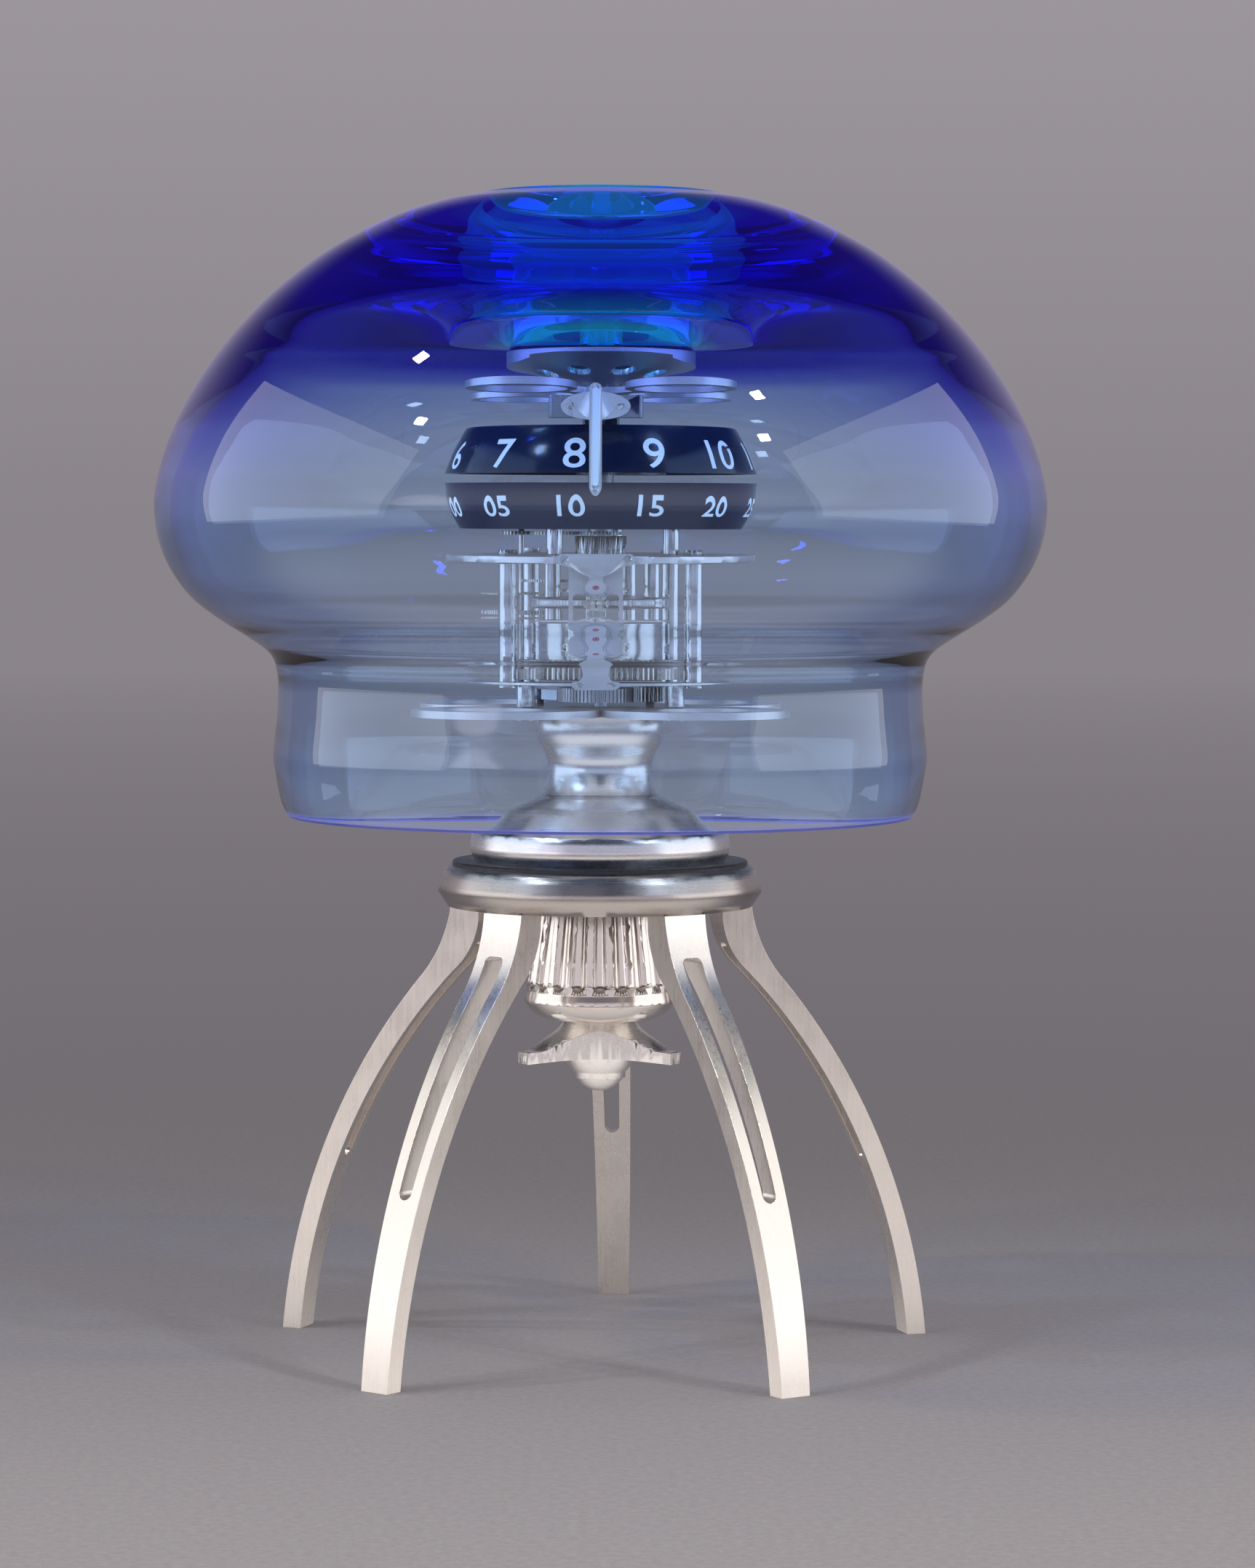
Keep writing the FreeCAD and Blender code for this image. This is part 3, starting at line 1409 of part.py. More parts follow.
journal_hole = S.barrel_journal_radius + S.running_clearance
lower_holes = [(0, 0, journal_hole)]
lower_holes += [(x, y, screw_hole) for x, y in movement_pillar_places]
lower_holes += [
    (centre_place[0], centre_place[1], pivot_hole),
    (setting_place[0], setting_place[1], S.setting_arbor_radius + S.running_clearance),
]
plate(
    "lower_plate", S.lower_plate_radius, lower_plate_base, S.lower_plate_thickness, lower_holes,
    S.plate_edge, recess=(S.lower_plate_flat, S.lower_recess_half_width),
    edge_holes=[escape_x + sign * float(S.balance_cock_screw_x) for sign in (1, -1)],
)

upper_holes = [(x, y, screw_hole) for x, y in movement_pillar_places]
upper_holes += [
    (centre_place[0], centre_place[1], S.arbor_radius + S.running_clearance),
    (third_place[0], third_place[1], pivot_hole),
    (fourth_place[0], fourth_place[1], pivot_hole),
]
plate(
    "upper_plate", S.upper_plate_radius, upper_plate_base, S.upper_plate_thickness, upper_holes,
    S.plate_edge, recess=(S.upper_plate_recess, S.upper_recess_half_width),
    edge_holes=[escape_x + sign * float(S.escape_cock_screw_x) for sign in (1, -1)],
)

bridge_holes = [(0, 0, S.barrel_top_journal_radius + S.running_clearance)]
bridge_holes += [(x, y, pivot_hole) for x, y in (third_place, fourth_place)]
bridge_holes += [(x, y, screw_hole) for x, y in bridge_pillar_places]
plate(
    "train_bridge", S.train_bridge_radius, bridge_base, S.train_bridge_thickness, bridge_holes, S.plate_edge
)

motion_holes = [(0, 0, S.motion_bridge_bore)]
motion_holes += [
    (centre_place[0], centre_place[1], pivot_hole),
    (idler_place[0], idler_place[1], S.idler_pin_radius + S.running_clearance),
]
motion_holes += [(x, y, screw_hole) for x, y in ring_pillar_places]
plate(
    "motion_bridge", S.motion_bridge_radius, motion_bridge_base, S.motion_bridge_thickness, motion_holes,
    S.plate_edge,
)

# Barrel and mainspring

barrel_base = lower_plate_top + S.barrel_floor_gap
barrel_top = barrel_base + S.barrel_height


def make_barrel():
    """The drum that holds the mainspring, with its teeth near the floor."""
    floor = S.barrel_floor_thickness
    drum = revolved([
        (journal_hole, barrel_base),
        (S.barrel_radius, barrel_base),
        (S.barrel_radius, barrel_top),
        (S.barrel_radius - S.barrel_wall, barrel_top),
        (S.barrel_radius - S.barrel_wall, barrel_base + floor),
        (journal_hole, barrel_base + floor),
    ])
    inner = S.barrel_radius - S.barrel_wall / 2
    thickness = S.barrel_wheel_thickness
    toothed = gear(S.barrel_teeth, S.barrel_module, thickness, inner, 0, barrel_base + floor / 2)
    feature("barrel_drum", drum.fuse(toothed).removeSplitter())


make_barrel()
turned("barrel_cover", [
    (S.barrel_top_journal_radius + S.running_clearance, barrel_top - S.barrel_cover_thickness),
    (S.barrel_radius - S.barrel_wall - S.seat_clearance, barrel_top - S.barrel_cover_thickness),
    (S.barrel_radius - S.barrel_wall - S.seat_clearance, barrel_top),
    (S.barrel_top_journal_radius + S.running_clearance, barrel_top),
])
drum_floor_top = barrel_base + S.barrel_floor_thickness
cover_base = barrel_top - S.barrel_cover_thickness
turned("barrel_arbor", [
    (0, barrel_arbor_base + S.barrel_socket_depth),
    (S.shaft_radius + S.seat_clearance, barrel_arbor_base + S.barrel_socket_depth),
    (S.shaft_radius + S.seat_clearance, barrel_arbor_base),
    (S.barrel_journal_radius, barrel_arbor_base),
    (S.barrel_journal_radius, drum_floor_top + S.running_clearance),
    (S.barrel_arbor_radius, drum_floor_top + S.running_clearance),
    (S.barrel_arbor_radius, cover_base - S.running_clearance),
    (S.barrel_top_journal_radius, cover_base - S.running_clearance),
    (S.barrel_top_journal_radius, bridge_top - S.running_clearance),
    (0, bridge_top - S.running_clearance),
])


def spiral(inner_radius, outer_radius, turns, thickness, height, base):
    """A flat coiled strip between two radii, as one solid."""
    steps = SPIRAL_STEPS * round(float(turns))
    outside = []
    inside = []
    growth = float(outer_radius) - float(inner_radius) - float(thickness)
    for step in range(steps + 1):
        share = step / steps
        angle = 2 * math.pi * float(turns) * share
        radius = float(inner_radius) + growth * share
        inside.append((radius * math.cos(angle), radius * math.sin(angle)))
        radius += float(thickness)
        outside.append((radius * math.cos(angle), radius * math.sin(angle)))
    return prism(inside + outside[::-1], height, base)


spring_gap = 3 * S.running_clearance
feature("mainspring", spiral(
    S.barrel_arbor_radius + S.mainspring_inner_clearance,
    S.barrel_radius - S.barrel_wall - S.mainspring_outer_clearance,
    S.mainspring_turns,
    S.mainspring_thickness,
    cover_base - drum_floor_top - 2 * spring_gap,
    drum_floor_top + spring_gap,
))

# Going train

train_floor = bridge_top
centre_wheel_base = train_floor + S.centre_wheel_rise
third_wheel_base = train_floor + S.third_wheel_rise
contrate_base = train_floor + S.contrate_rise
motion_gear_base = upper_plate_top + S.motion_gear_rise
pinion_turn = meshed_turn(0, S.barrel_teeth, S.pinion_leaves, float(S.centre_arbor_angle))
third_pinion_turn = meshed_turn(0, S.centre_teeth, S.pinion_leaves, float(S.third_direction))
fourth_pinion_turn = meshed_turn(0, S.third_teeth, S.pinion_leaves, float(S.fourth_direction))
axis_to_idler = direction_between(AXIS, idler_place)
idler_to_centre = direction_between(idler_place, centre_place)
idler_turn = meshed_turn(0, S.motion_gear_teeth, S.idler_teeth, axis_to_idler)
centre_gear_turn = meshed_turn(idler_turn, S.idler_teeth, S.motion_gear_teeth, idler_to_centre)


def pinion(module, base, top, turn):
    """A pinion of the train's leaf count."""
    return gear(S.pinion_leaves, module, top - base, 0, turn, base)


def arbor(base, top, pivot_length, pivot_radius=None, radius=None):
    """An arbor with a thinner pivot at each end."""
    pivot_radius = S.pivot_radius if pivot_radius is None else pivot_radius
    radius = S.arbor_radius if radius is None else radius
    thick = cylinder(radius, top - base - 2 * pivot_length, base + pivot_length)
    thin = cylinder(pivot_radius, top - base, base)
    return thick.fuse(thin)


def make_centre_wheel():
    """The arbor that turns once an hour: barrel pinion, centre wheel and the gear for the minute ring."""
    pinion_base = barrel_base + S.barrel_floor_thickness / 2 - S.pinion_overlap
    pinion_top = pinion_base + S.barrel_wheel_thickness + 2 * S.pinion_overlap
    foot = lower_plate_top - S.lower_plate_thickness + S.running_clearance
    head = motion_bridge_top - S.running_clearance
    shoulder = motion_bridge_base - S.running_clearance * 4
    spindle = cylinder(S.pivot_radius, head - foot, foot)
    body_base = lower_plate_top + S.running_clearance * 4
    spindle = spindle.fuse(cylinder(S.arbor_radius, shoulder - body_base, body_base))
    parts = [
        pinion(S.barrel_module, pinion_base, pinion_top, pinion_turn),
        wheel(S.centre_teeth, S.centre_module, S.wheel_thickness, WHEEL_SPOKES, 0, centre_wheel_base),
        gear(
            S.motion_gear_teeth, S.motion_gear_module, S.motion_gear_thickness, 0, centre_gear_turn,
            motion_gear_base,
        ),
    ]
    feature("centre_wheel", moved(spindle.fuse(parts).removeSplitter(), *centre_place))


def make_third_wheel():
    """The third wheel, with the pinion that the centre wheel drives."""
    low = centre_wheel_base - S.pinion_overlap
    high = centre_wheel_base + S.wheel_thickness + S.pinion_overlap
    bottom = bridge_base + S.running_clearance
    top = upper_plate_top - S.running_clearance
    spindle = arbor(bottom, top, S.upper_plate_thickness)
    parts = [
        pinion(S.centre_module, low, high, third_pinion_turn),
        wheel(S.third_teeth, S.third_module, S.wheel_thickness, WHEEL_SPOKES, 0, third_wheel_base),
    ]
    feature("third_wheel", moved(spindle.fuse(parts).removeSplitter(), *third_place))


def make_contrate_wheel():
    """The fourth wheel: its teeth stand up from the rim, to drive the escape arbor that lies flat."""
    low = third_wheel_base - S.pinion_overlap
    high = third_wheel_base + S.wheel_thickness + S.pinion_overlap
    bottom = bridge_base + S.running_clearance
    top = upper_plate_top - S.running_clearance
    spindle = arbor(bottom, top, S.upper_plate_thickness)
    rim_inner = S.contrate_radius - S.contrate_rim
    web = cylinder(S.contrate_radius, S.contrate_web, contrate_base)
    opening = float(rim_inner) - float(S.contrate_rim)
    web_turn = FULL_TURN / (2 * CONTRATE_SPOKES)
    web = web.cut(crossings(opening, S.contrate_web, CONTRATE_SPOKES, contrate_base, turn=web_turn))
    rim = tube(S.contrate_radius, rim_inner, S.contrate_height, contrate_base)
    count = round(float(S.contrate_teeth))
    gap_width = 2 * math.pi * float(S.contrate_radius) / count * (1 - float(S.contrate_tooth_share))
    gap_base = float(contrate_base + S.contrate_height - S.contrate_tooth_depth)
    corner = Vector(float(rim_inner) - float(S.cut_overrun) / 2, -gap_width / 2, gap_base)
    gap_length = 2 * float(S.contrate_rim + S.cut_overrun)
    gap = Part.makeBox(gap_length, gap_width, 2 * float(S.contrate_tooth_depth), corner)
    gaps = [moved(gap, turn=FULL_TURN * (tooth + 0.5) / count) for tooth in range(count)]
    rim = rim.cut(Part.makeCompound(gaps))
    parts = [web, rim, pinion(S.third_module, low, high, fourth_pinion_turn)]
    feature("contrate_wheel", moved(spindle.fuse(parts).removeSplitter(), *fourth_place))


make_centre_wheel()
make_third_wheel()
make_contrate_wheel()

# Escapement, which stands upright at the front and faces the viewer

cock_back = S.upper_plate_recess
cock_front = cock_back + S.cock_thickness
balance_cock_back = S.lower_plate_flat
balance_cock_front = balance_cock_back + S.cock_thickness
contrate_rim_y = fourth_place[1] - float(S.contrate_radius) + float(S.contrate_rim) / 2
escape_rear = -contrate_rim_y - float(S.escape_pinion_length) / 2
platform_front = S.platform_depth + S.platform_thickness


def make_escape_wheel():
    """The escape wheel on its long flat arbor, with the pinion over the contrate teeth."""
    front = float(cock_front) - float(S.jewel_thickness) / 2
    rear = escape_rear - float(S.escape_rear_pivot_length)
    shoulder = float(cock_back) - float(S.escape_shoulder_gap)
    spindle = cylinder(S.escape_arbor_radius, shoulder - escape_rear, escape_rear)
    spindle = spindle.fuse(cylinder(S.escape_pivot_radius, front - rear, rear))
    leaves = gear(S.pinion_leaves, S.escape_pinion_module, S.escape_pinion_length, 0, 0, escape_rear)
    tip = float(S.escape_wheel_radius)
    root = tip * float(S.escape_root_share)
    count = round(float(S.escape_teeth))
    points = []
    for tooth in range(count):
        base = FULL_TURN * tooth / count
        points += [
            polar(root, base), polar(tip, base + float(S.escape_tip_start)),
            polar(tip, base + float(S.escape_tip_end)), polar(root, base + float(S.escape_root_end)),
        ]
    disc = prism(points, S.escape_wheel_thickness, S.escape_wheel_depth)
    cut_height = 3 * float(S.escape_wheel_thickness)
    cut_base = float(S.escape_wheel_depth) - float(S.escape_wheel_thickness)
    hollow_outer = root * float(S.escape_hollow_share)
    hollow = tube(hollow_outer, tip * float(S.escape_hub_share), cut_height, cut_base)
    width = float(S.fork_arm_width)
    bars = []
    for bar in range(WHEEL_SPOKES):
        box = Part.makeBox(tip, width, cut_height, Vector(0, -width / 2, cut_base))
        bars.append(moved(box, turn=FULL_TURN * bar / WHEEL_SPOKES))
    disc = disc.cut(hollow.cut(Part.makeCompound(bars)))
    solid = spindle.fuse([leaves, disc]).removeSplitter()
    feature("escape_wheel", facing_front(solid, escape_x, 0, escape_z))


make_escape_wheel()


def make_pallet_fork():
    """The lever: two arms with stones at the escape wheel and a forked tail towards the balance."""
    base = float(S.escape_wheel_depth)
    thick = float(S.fork_thickness)
    width = float(S.fork_arm_width)
    drop = float(S.fork_pivot_drop)
    reach = float(S.escape_wheel_radius) + float(S.fork_stone_gap)
    solid = cylinder(width * 1.2, thick, base)
    extra = []
    for sign in (1, -1):
        angle = 90 + sign * 140
        stone = (reach * math.cos(math.radians(angle)), drop + reach * math.sin(math.radians(angle)))
        outward = math.copysign(width, stone[0])
        arm = prism([
            (0, -width / 2), (stone[0] + outward, stone[1] - width / 2),
            (stone[0] + outward, stone[1] + width), (stone[0], stone[1]), (0, width / 2),
        ], thick, base)
        extra.append(arm)
    tail = float(S.fork_length)
    stem = [(-width / 2, 0), (-width / 3, -tail), (width / 3, -tail), (width / 2, 0)]
    extra.append(prism(stem, thick, base))
    for sign in (1, -1):
        extra.append(prism([
            (0, -tail * float(S.fork_notch_share)), (sign * width, -tail), (sign * width, -tail - width),
            (sign * width / 2, -tail - width), (0, -tail),
        ], thick, base))
    pin_base = float(S.platform_depth + S.fork_pin_gap)
    extra.append(cylinder(S.escape_pivot_radius * S.fork_pin_share, base + 2 * thick - pin_base, pin_base))
    solid = solid.fuse(extra).removeSplitter()
    feature("pallet_fork", facing_front(solid, escape_x, 0, fork_z))


make_pallet_fork()


def make_balance():
    """The balance: a screwed rim on three spokes, its staff and the roller under it."""
    base = float(S.balance_depth)
    thick = float(S.balance_thickness)
    outer = float(S.balance_radius)
    inner = outer - float(S.balance_rim)
    rim = tube(outer, inner, thick, base)
    width = float(S.balance_spoke_width)
    spokes = []
    spoke_length = inner + float(S.balance_rim) / 2
    for spoke in range(BALANCE_SPOKES):
        bar = Part.makeBox(spoke_length, width, thick / 2, Vector(0, -width / 2, base + thick / 4))
        spokes.append(moved(bar, turn=QUARTER_TURN + FULL_TURN * spoke / BALANCE_SPOKES))
    screws = []
    count = round(float(S.balance_screw_count))
    for number in range(count):
        turn = FULL_TURN * (number + 0.5) / count
        shank = Part.makeCylinder(
            float(S.balance_screw_radius),
            float(S.balance_screw_length) + float(S.balance_rim) / 2,
            Vector(outer - float(S.balance_rim) / 2, 0, base + thick / 2),
            Vector(1, 0, 0),
        )
        screws.append(moved(shank, turn=turn))
    staff_rear = float(S.platform_depth + S.staff_gap)
    staff_front = float(balance_cock_front) - float(S.jewel_thickness) / 2
    staff = cylinder(S.escape_pivot_radius, staff_front - staff_rear, staff_rear)
    shoulder = float(platform_front + S.staff_gap)
    shoulder_length = float(balance_cock_back) - float(S.staff_gap) - shoulder
    staff = staff.fuse(cylinder(S.balance_staff_radius, shoulder_length, shoulder))
    hub = cylinder(S.balance_hub_share * S.balance_staff_radius, thick, base)
    roller = cylinder(S.roller_radius, S.roller_thickness, shoulder + float(S.staff_gap))
    solid = rim.fuse(spokes + screws + [staff, hub, roller]).removeSplitter()
    feature("balance_wheel", facing_front(solid, escape_x, 0, balance_z))
    coil = spiral(
        S.hairspring_inner_radius, S.hairspring_outer_radius, S.hairspring_turns, S.hairspring_thickness,
        S.hairspring_height, S.hairspring_depth,
    )
    collet_outer = float(S.hairspring_inner_radius) + float(S.hairspring_thickness)
    collet_inner = S.balance_staff_radius + S.seat_clearance
    collet = tube(collet_outer, collet_inner, S.hairspring_height, S.hairspring_depth)
    feature("hairspring", facing_front(coil.fuse(collet), escape_x, 0, balance_z))


make_balance()


def make_platform():
    """The upright plate behind the balance, hung from the upper plate, that holds the rear pivots."""
    half = float(S.platform_half_width)
    top = float(upper_plate_base - balance_z)
    bottom = top - float(S.platform_bottom_drop)
    depth = float(S.platform_depth)
    solid = prism(
        [(-half, top), (-half, 0), (-half / 2, bottom), (half / 2, bottom), (half, 0), (half, top)],
        S.platform_thickness, depth,
    )
    fork_up = float(fork_z - balance_z)
    escape_up = float(escape_z - balance_z)
    boss = cylinder(S.platform_boss_radius, S.platform_boss_length, depth, (0, fork_up))
    solid = solid.fuse(boss)
    long = float(S.platform_boss_length) + 2 * float(S.cut_overrun)
    low = depth - float(S.cut_overrun)
    holes = [
        cylinder(S.escape_pivot_radius * 1.6 + S.running_clearance, long, low, (0, fork_up)),
        cylinder(S.escape_arbor_radius + 6 * S.running_clearance, long, low, (0, escape_up)),
        cylinder(S.escape_pivot_radius + S.running_clearance, long, low, (0, 0)),
        cylinder(half / 4, long, low, (-half * 0.6, float(S.platform_bottom_drop) / 3)),
        cylinder(half / 4, long, low, (half * 0.6, float(S.platform_bottom_drop) / 3)),
    ]
    feature("escapement_platform", facing_front(solid.cut(holes).removeSplitter(), escape_x, 0, balance_z))


make_platform()


def make_rear_cock():
    """The small hanger under the upper plate for the rear end of the escape arbor."""
    half = float(S.platform_boss_radius)
    depth = float(S.platform_thickness)
    up = float(S.escape_arbor_drop)
    rear = escape_rear - 0.3 - depth
    solid = prism([(-half, up), (-half, -half / 2), (half, -half / 2), (half, up)], depth, rear)
    hole = cylinder(S.escape_pivot_radius + S.running_clearance, 3 * depth, rear - depth)
    feature("escape_hanger", facing_front(solid.cut(hole), escape_x, 0, escape_z))


make_rear_cock()


def cock_eye(radius, thickness, back):
    """The round end of a cock."""
    return cylinder(radius, thickness, back)


def make_cocks():
    """The two cocks in front of the escapement, each with a jewel in its eye."""
    thick = S.cock_thickness
    eye = float(S.cock_eye_radius)
    jewel_hole = cylinder(S.jewel_radius + S.seat_clearance / 2, 3 * thick, cock_back - thick)
    top = float(upper_plate_top + S.escape_cock_rise - escape_z)
    half = float(S.escape_cock_half_width)
    arm = float(S.escape_cock_arm_height)
    neck = float(S.escape_cock_neck_half_width)
    neck_up = top - float(S.escape_cock_neck_drop)
    shoulder = top - arm * float(S.cock_shoulder_share)
    waist = half * float(S.cock_waist_share)
    outline = [
        (-half, top - arm / 3), (-half + arm / 3, top), (half - arm / 3, top), (half, top - arm / 3),
        (half - arm / 5, shoulder), (waist, top - arm), (neck, neck_up), (neck, 0), (-neck, 0),
        (-neck, neck_up), (-waist, top - arm), (-half + arm / 5, shoulder),
    ]
    screw_up = float(upper_plate_top - S.upper_plate_thickness / 2 - escape_z)
    upper = prism(outline, thick, cock_back).fuse(cock_eye(eye, thick, cock_back))
    shank = S.cock_screw_radius + S.running_clearance
    upper_cuts = [jewel_hole]
    for sign in (1, -1):
        place = (sign * S.escape_cock_screw_x, screw_up)
        upper_cuts.append(cylinder(shank, 3 * thick, cock_back - thick, place))
    upper = upper.cut(upper_cuts).removeSplitter()
    feature("escape_cock", facing_front(upper, escape_x, 0, escape_z))

    half = float(S.balance_cock_half_width)
    neck = float(S.balance_cock_neck_half_width)
    foot_top = float(lower_plate_top - balance_z) + float(S.balance_cock_foot_height) / 3
    foot_base = foot_top - float(S.balance_cock_foot_height)
    corner = float(S.balance_cock_corner)
    shoulder = half * float(S.balance_cock_shoulder_share)
    waist_up = foot_top * float(S.balance_cock_waist_share)
    tip = neck * float(S.balance_cock_tip_share)
    outline = [
        (-half + corner, foot_base), (half - corner, foot_base), (half, foot_base + corner),
        (half, foot_top - corner), (shoulder, foot_top), (neck, waist_up), (tip, 0), (-tip, 0),
        (-neck, waist_up), (-shoulder, foot_top), (-half, foot_top - corner), (-half, foot_base + corner),
    ]
    lower = prism(outline, thick, balance_cock_back).fuse(cock_eye(eye, thick, balance_cock_back))
    lower_hole = cylinder(S.jewel_radius + S.seat_clearance / 2, 3 * thick, balance_cock_back - thick)
    screw_down = float(lower_plate_top - S.lower_plate_thickness / 2 - balance_z)
    lower_cuts = [lower_hole]
    for sign in (1, -1):
        place = (sign * S.balance_cock_screw_x, screw_down)
        lower_cuts.append(cylinder(shank, 3 * thick, balance_cock_back - thick, place))
    lower = lower.cut(lower_cuts).removeSplitter()
    feature("balance_cock", facing_front(lower, escape_x, 0, balance_z))

    jewel = tube(S.jewel_radius, S.escape_pivot_radius + S.running_clearance, S.jewel_thickness)
    upper_jewel = facing_front(jewel, escape_x, cock_front - S.jewel_thickness, escape_z)
    lower_jewel = facing_front(jewel, escape_x, balance_cock_front - S.jewel_thickness, balance_z)
    feature("jewels", Part.makeCompound([upper_jewel, lower_jewel]))

    screw = slotted_screw(
        S.cock_screw_radius, S.cock_screw_length, S.cock_screw_head_radius, S.cock_screw_head_height,
        S.cock_screw_slot_width, S.cock_screw_slot_depth,
    )
    upper_z = upper_plate_top - S.upper_plate_thickness / 2
    lower_z = lower_plate_top - S.lower_plate_thickness / 2
    screws = []
    for sign, slot_turn in COCK_SLOT_TURNS:
        x = escape_x + sign * float(S.escape_cock_screw_x)
        screws.append(facing_front(screw, x, cock_front, upper_z, slot_turn))
        x = escape_x + sign * float(S.balance_cock_screw_x)
        screws.append(facing_front(screw, x, balance_cock_front, lower_z, slot_turn + QUARTER_TURN))
    return screws


cock_screws = make_cocks()

# Minute and hour rings and the work that turns them


def ring_shell(base, top, bottom_radius, top_radius, curve):
    """A hollow ring with a curved outer face and a short lip at each edge."""
    wall = float(S.ring_wall)
    lip = float(S.ring_lip)
    low = Vector(float(bottom_radius), 0, float(base))
    high = Vector(float(top_radius), 0, float(top))
    chord = high - low
    bulge = Vector(chord.z, 0, -chord.x).normalize() * (chord.Length ** 2 / (8 * float(curve)))
    middle = (low + high) / 2 + bulge
    inward = Vector(wall, 0, 0)
    outer = Part.Arc(low, middle, high).toShape()
    inner_low = low - inward + Vector(0, 0, lip)
    inner_high = high - inward - Vector(0, 0, lip)
    inner = Part.Arc(inner_low, middle - inward, inner_high).toShape()
    lip_low = [inner_low - Vector(lip, 0, 0), inner_low - Vector(lip, 0, lip)]
    lip_high = [inner_high + Vector(-lip, 0, lip), inner_high - Vector(lip, 0, 0)]
    edges = [
        outer,
        Part.makeLine(high, lip_high[0]),
        Part.makeLine(lip_high[0], lip_high[1]),
        Part.makeLine(lip_high[1], inner_high),
        inner,
        Part.makeLine(inner_low, lip_low[0]),
        Part.makeLine(lip_low[0], lip_low[1]),
        Part.makeLine(lip_low[1], low),
    ]
    return Part.Face(Part.Wire(edges)).revolve(Vector(0, 0, 0), Vector(0, 0, 1), FULL_TURN)


def ring_spokes(base, reach, bore):
    """Three spokes and a boss that carry a ring."""
    thickness = S.ring_spoke_thickness
    width = float(S.ring_spoke_width)
    count = round(float(S.ring_spoke_count))
    bars = []
    for spoke in range(count):
        bar = Part.makeBox(float(reach), width, float(thickness), Vector(0, -width / 2, float(base)))
        bars.append(moved(bar, turn=QUARTER_TURN + FULL_TURN * spoke / count))
    boss = cylinder(S.ring_boss_radius, thickness, base)
    hole = cylinder(bore, thickness + 2 * S.cut_overrun, base - S.cut_overrun)
    return boss.fuse(bars).cut(hole)


minute_shell = ring_shell(
    minute_base, minute_top, S.minute_bottom_radius, S.ring_widest_radius, S.minute_face_curve
)
spoke_reach = S.ring_widest_radius - S.ring_wall - S.ring_spoke_sink
minute_spokes = ring_spokes(
    minute_base + S.minute_spoke_rise, spoke_reach, S.minute_tube_radius + S.seat_clearance
)
feature("minute_ring", minute_shell.fuse(minute_spokes).removeSplitter())
hour_shell = ring_shell(hour_base, hour_top, S.ring_widest_radius, S.hour_top_radius, S.hour_face_curve)
hour_spokes = ring_spokes(hour_base + S.hour_spoke_rise, spoke_reach, S.hour_tube_radius + S.seat_clearance)
feature("hour_ring", hour_shell.fuse(hour_spokes).removeSplitter())

tube_bore = S.post_radius + S.running_clearance
minute_tube_top = hour_base + S.minute_tube_top_rise
minute_pinion_base = minute_tube_top - S.minute_pinion_height
arm_base = minute_tube_top + S.reduction_arm_gap
arm_top = arm_base + S.reduction_arm_thickness
hour_gear_base = arm_top + S.hour_gear_gap
reduction_turn = meshed_turn(0, S.minute_pinion_teeth, S.reduction_teeth, float(S.reduction_angle))
hour_gear_turn = meshed_turn(0, S.reduction_pinion_teeth, S.hour_gear_teeth, float(S.reduction_angle) + 180)


def make_minute_hub():
    """The tube under the minute ring: its gear below and the pinion for the hour ring above."""
    bottom = motion_gear_base
    solid = cylinder(S.minute_tube_radius, minute_tube_top - bottom, bottom)
    parts = [
        gear(S.motion_gear_teeth, S.motion_gear_module, S.motion_gear_thickness, 0, 0, motion_gear_base),
        gear(
            S.minute_pinion_teeth, S.motion_gear_module, S.minute_pinion_height, 0, 0, minute_pinion_base
        ),
    ]
    length = minute_tube_top - bottom + 2 * S.cut_overrun
    bore = cylinder(tube_bore, length, bottom - S.cut_overrun)
    feature("minute_hub", solid.fuse(parts).cut(bore).removeSplitter())


def make_hour_hub():
    """The tube and gear under the hour ring."""
    solid = cylinder(S.hour_tube_radius, S.hour_tube_length, hour_gear_base)
    toothed = wheel(
        S.hour_gear_teeth, hour_gear_module, S.hour_gear_thickness, 5, hour_gear_turn, hour_gear_base
    )
    length = S.hour_tube_length + 2 * S.cut_overrun
    bore = cylinder(tube_bore, length, hour_gear_base - S.cut_overrun)
    feature("hour_hub", solid.fuse(toothed).cut(bore).removeSplitter())


def make_reduction_wheel():
    """The wheel and pinion that slow the minute hub's turning twelve times for the hour ring."""
    wheel_base = minute_pinion_base + S.minute_pinion_height / 4
    pinion_base = arm_top + S.running_clearance * 4
    pinion_top = hour_gear_base + S.hour_gear_thickness + S.running_clearance * 4
    spindle = cylinder(S.reduction_arbor_radius, pinion_top - wheel_base, wheel_base)
    parts = [
        wheel(S.reduction_teeth, S.motion_gear_module, S.wheel_thickness, 5, reduction_turn, wheel_base),
        gear(S.reduction_pinion_teeth, hour_gear_module, pinion_top - pinion_base, 0, 0, pinion_base),
    ]
    feature("reduction_wheel", moved(spindle.fuse(parts).removeSplitter(), *reduction_place))


def make_reduction_arm():
    """The fixed arm on the column that carries the reduction wheel."""
    half = float(S.reduction_arm_half_width)
    solid = cylinder(S.reduction_hub_radius, S.reduction_arm_thickness, arm_base)
    eye = cylinder(half, S.reduction_arm_thickness, arm_base, (reduction_reach, 0))
    corner = Vector(0, -half, float(arm_base))
    bar = Part.makeBox(reduction_reach, 2 * half, float(S.reduction_arm_thickness), corner)
    solid = solid.fuse([eye, bar])
    height = S.reduction_arm_thickness + 2 * S.cut_overrun
    low = arm_base - S.cut_overrun
    holes = [
        cylinder(S.post_radius + S.seat_clearance, height, low),
        cylinder(S.reduction_arbor_radius + S.running_clearance, height, low, (reduction_reach, 0)),
    ]
    feature("reduction_arm", moved(solid.cut(holes).removeSplitter(), turn=S.reduction_angle))


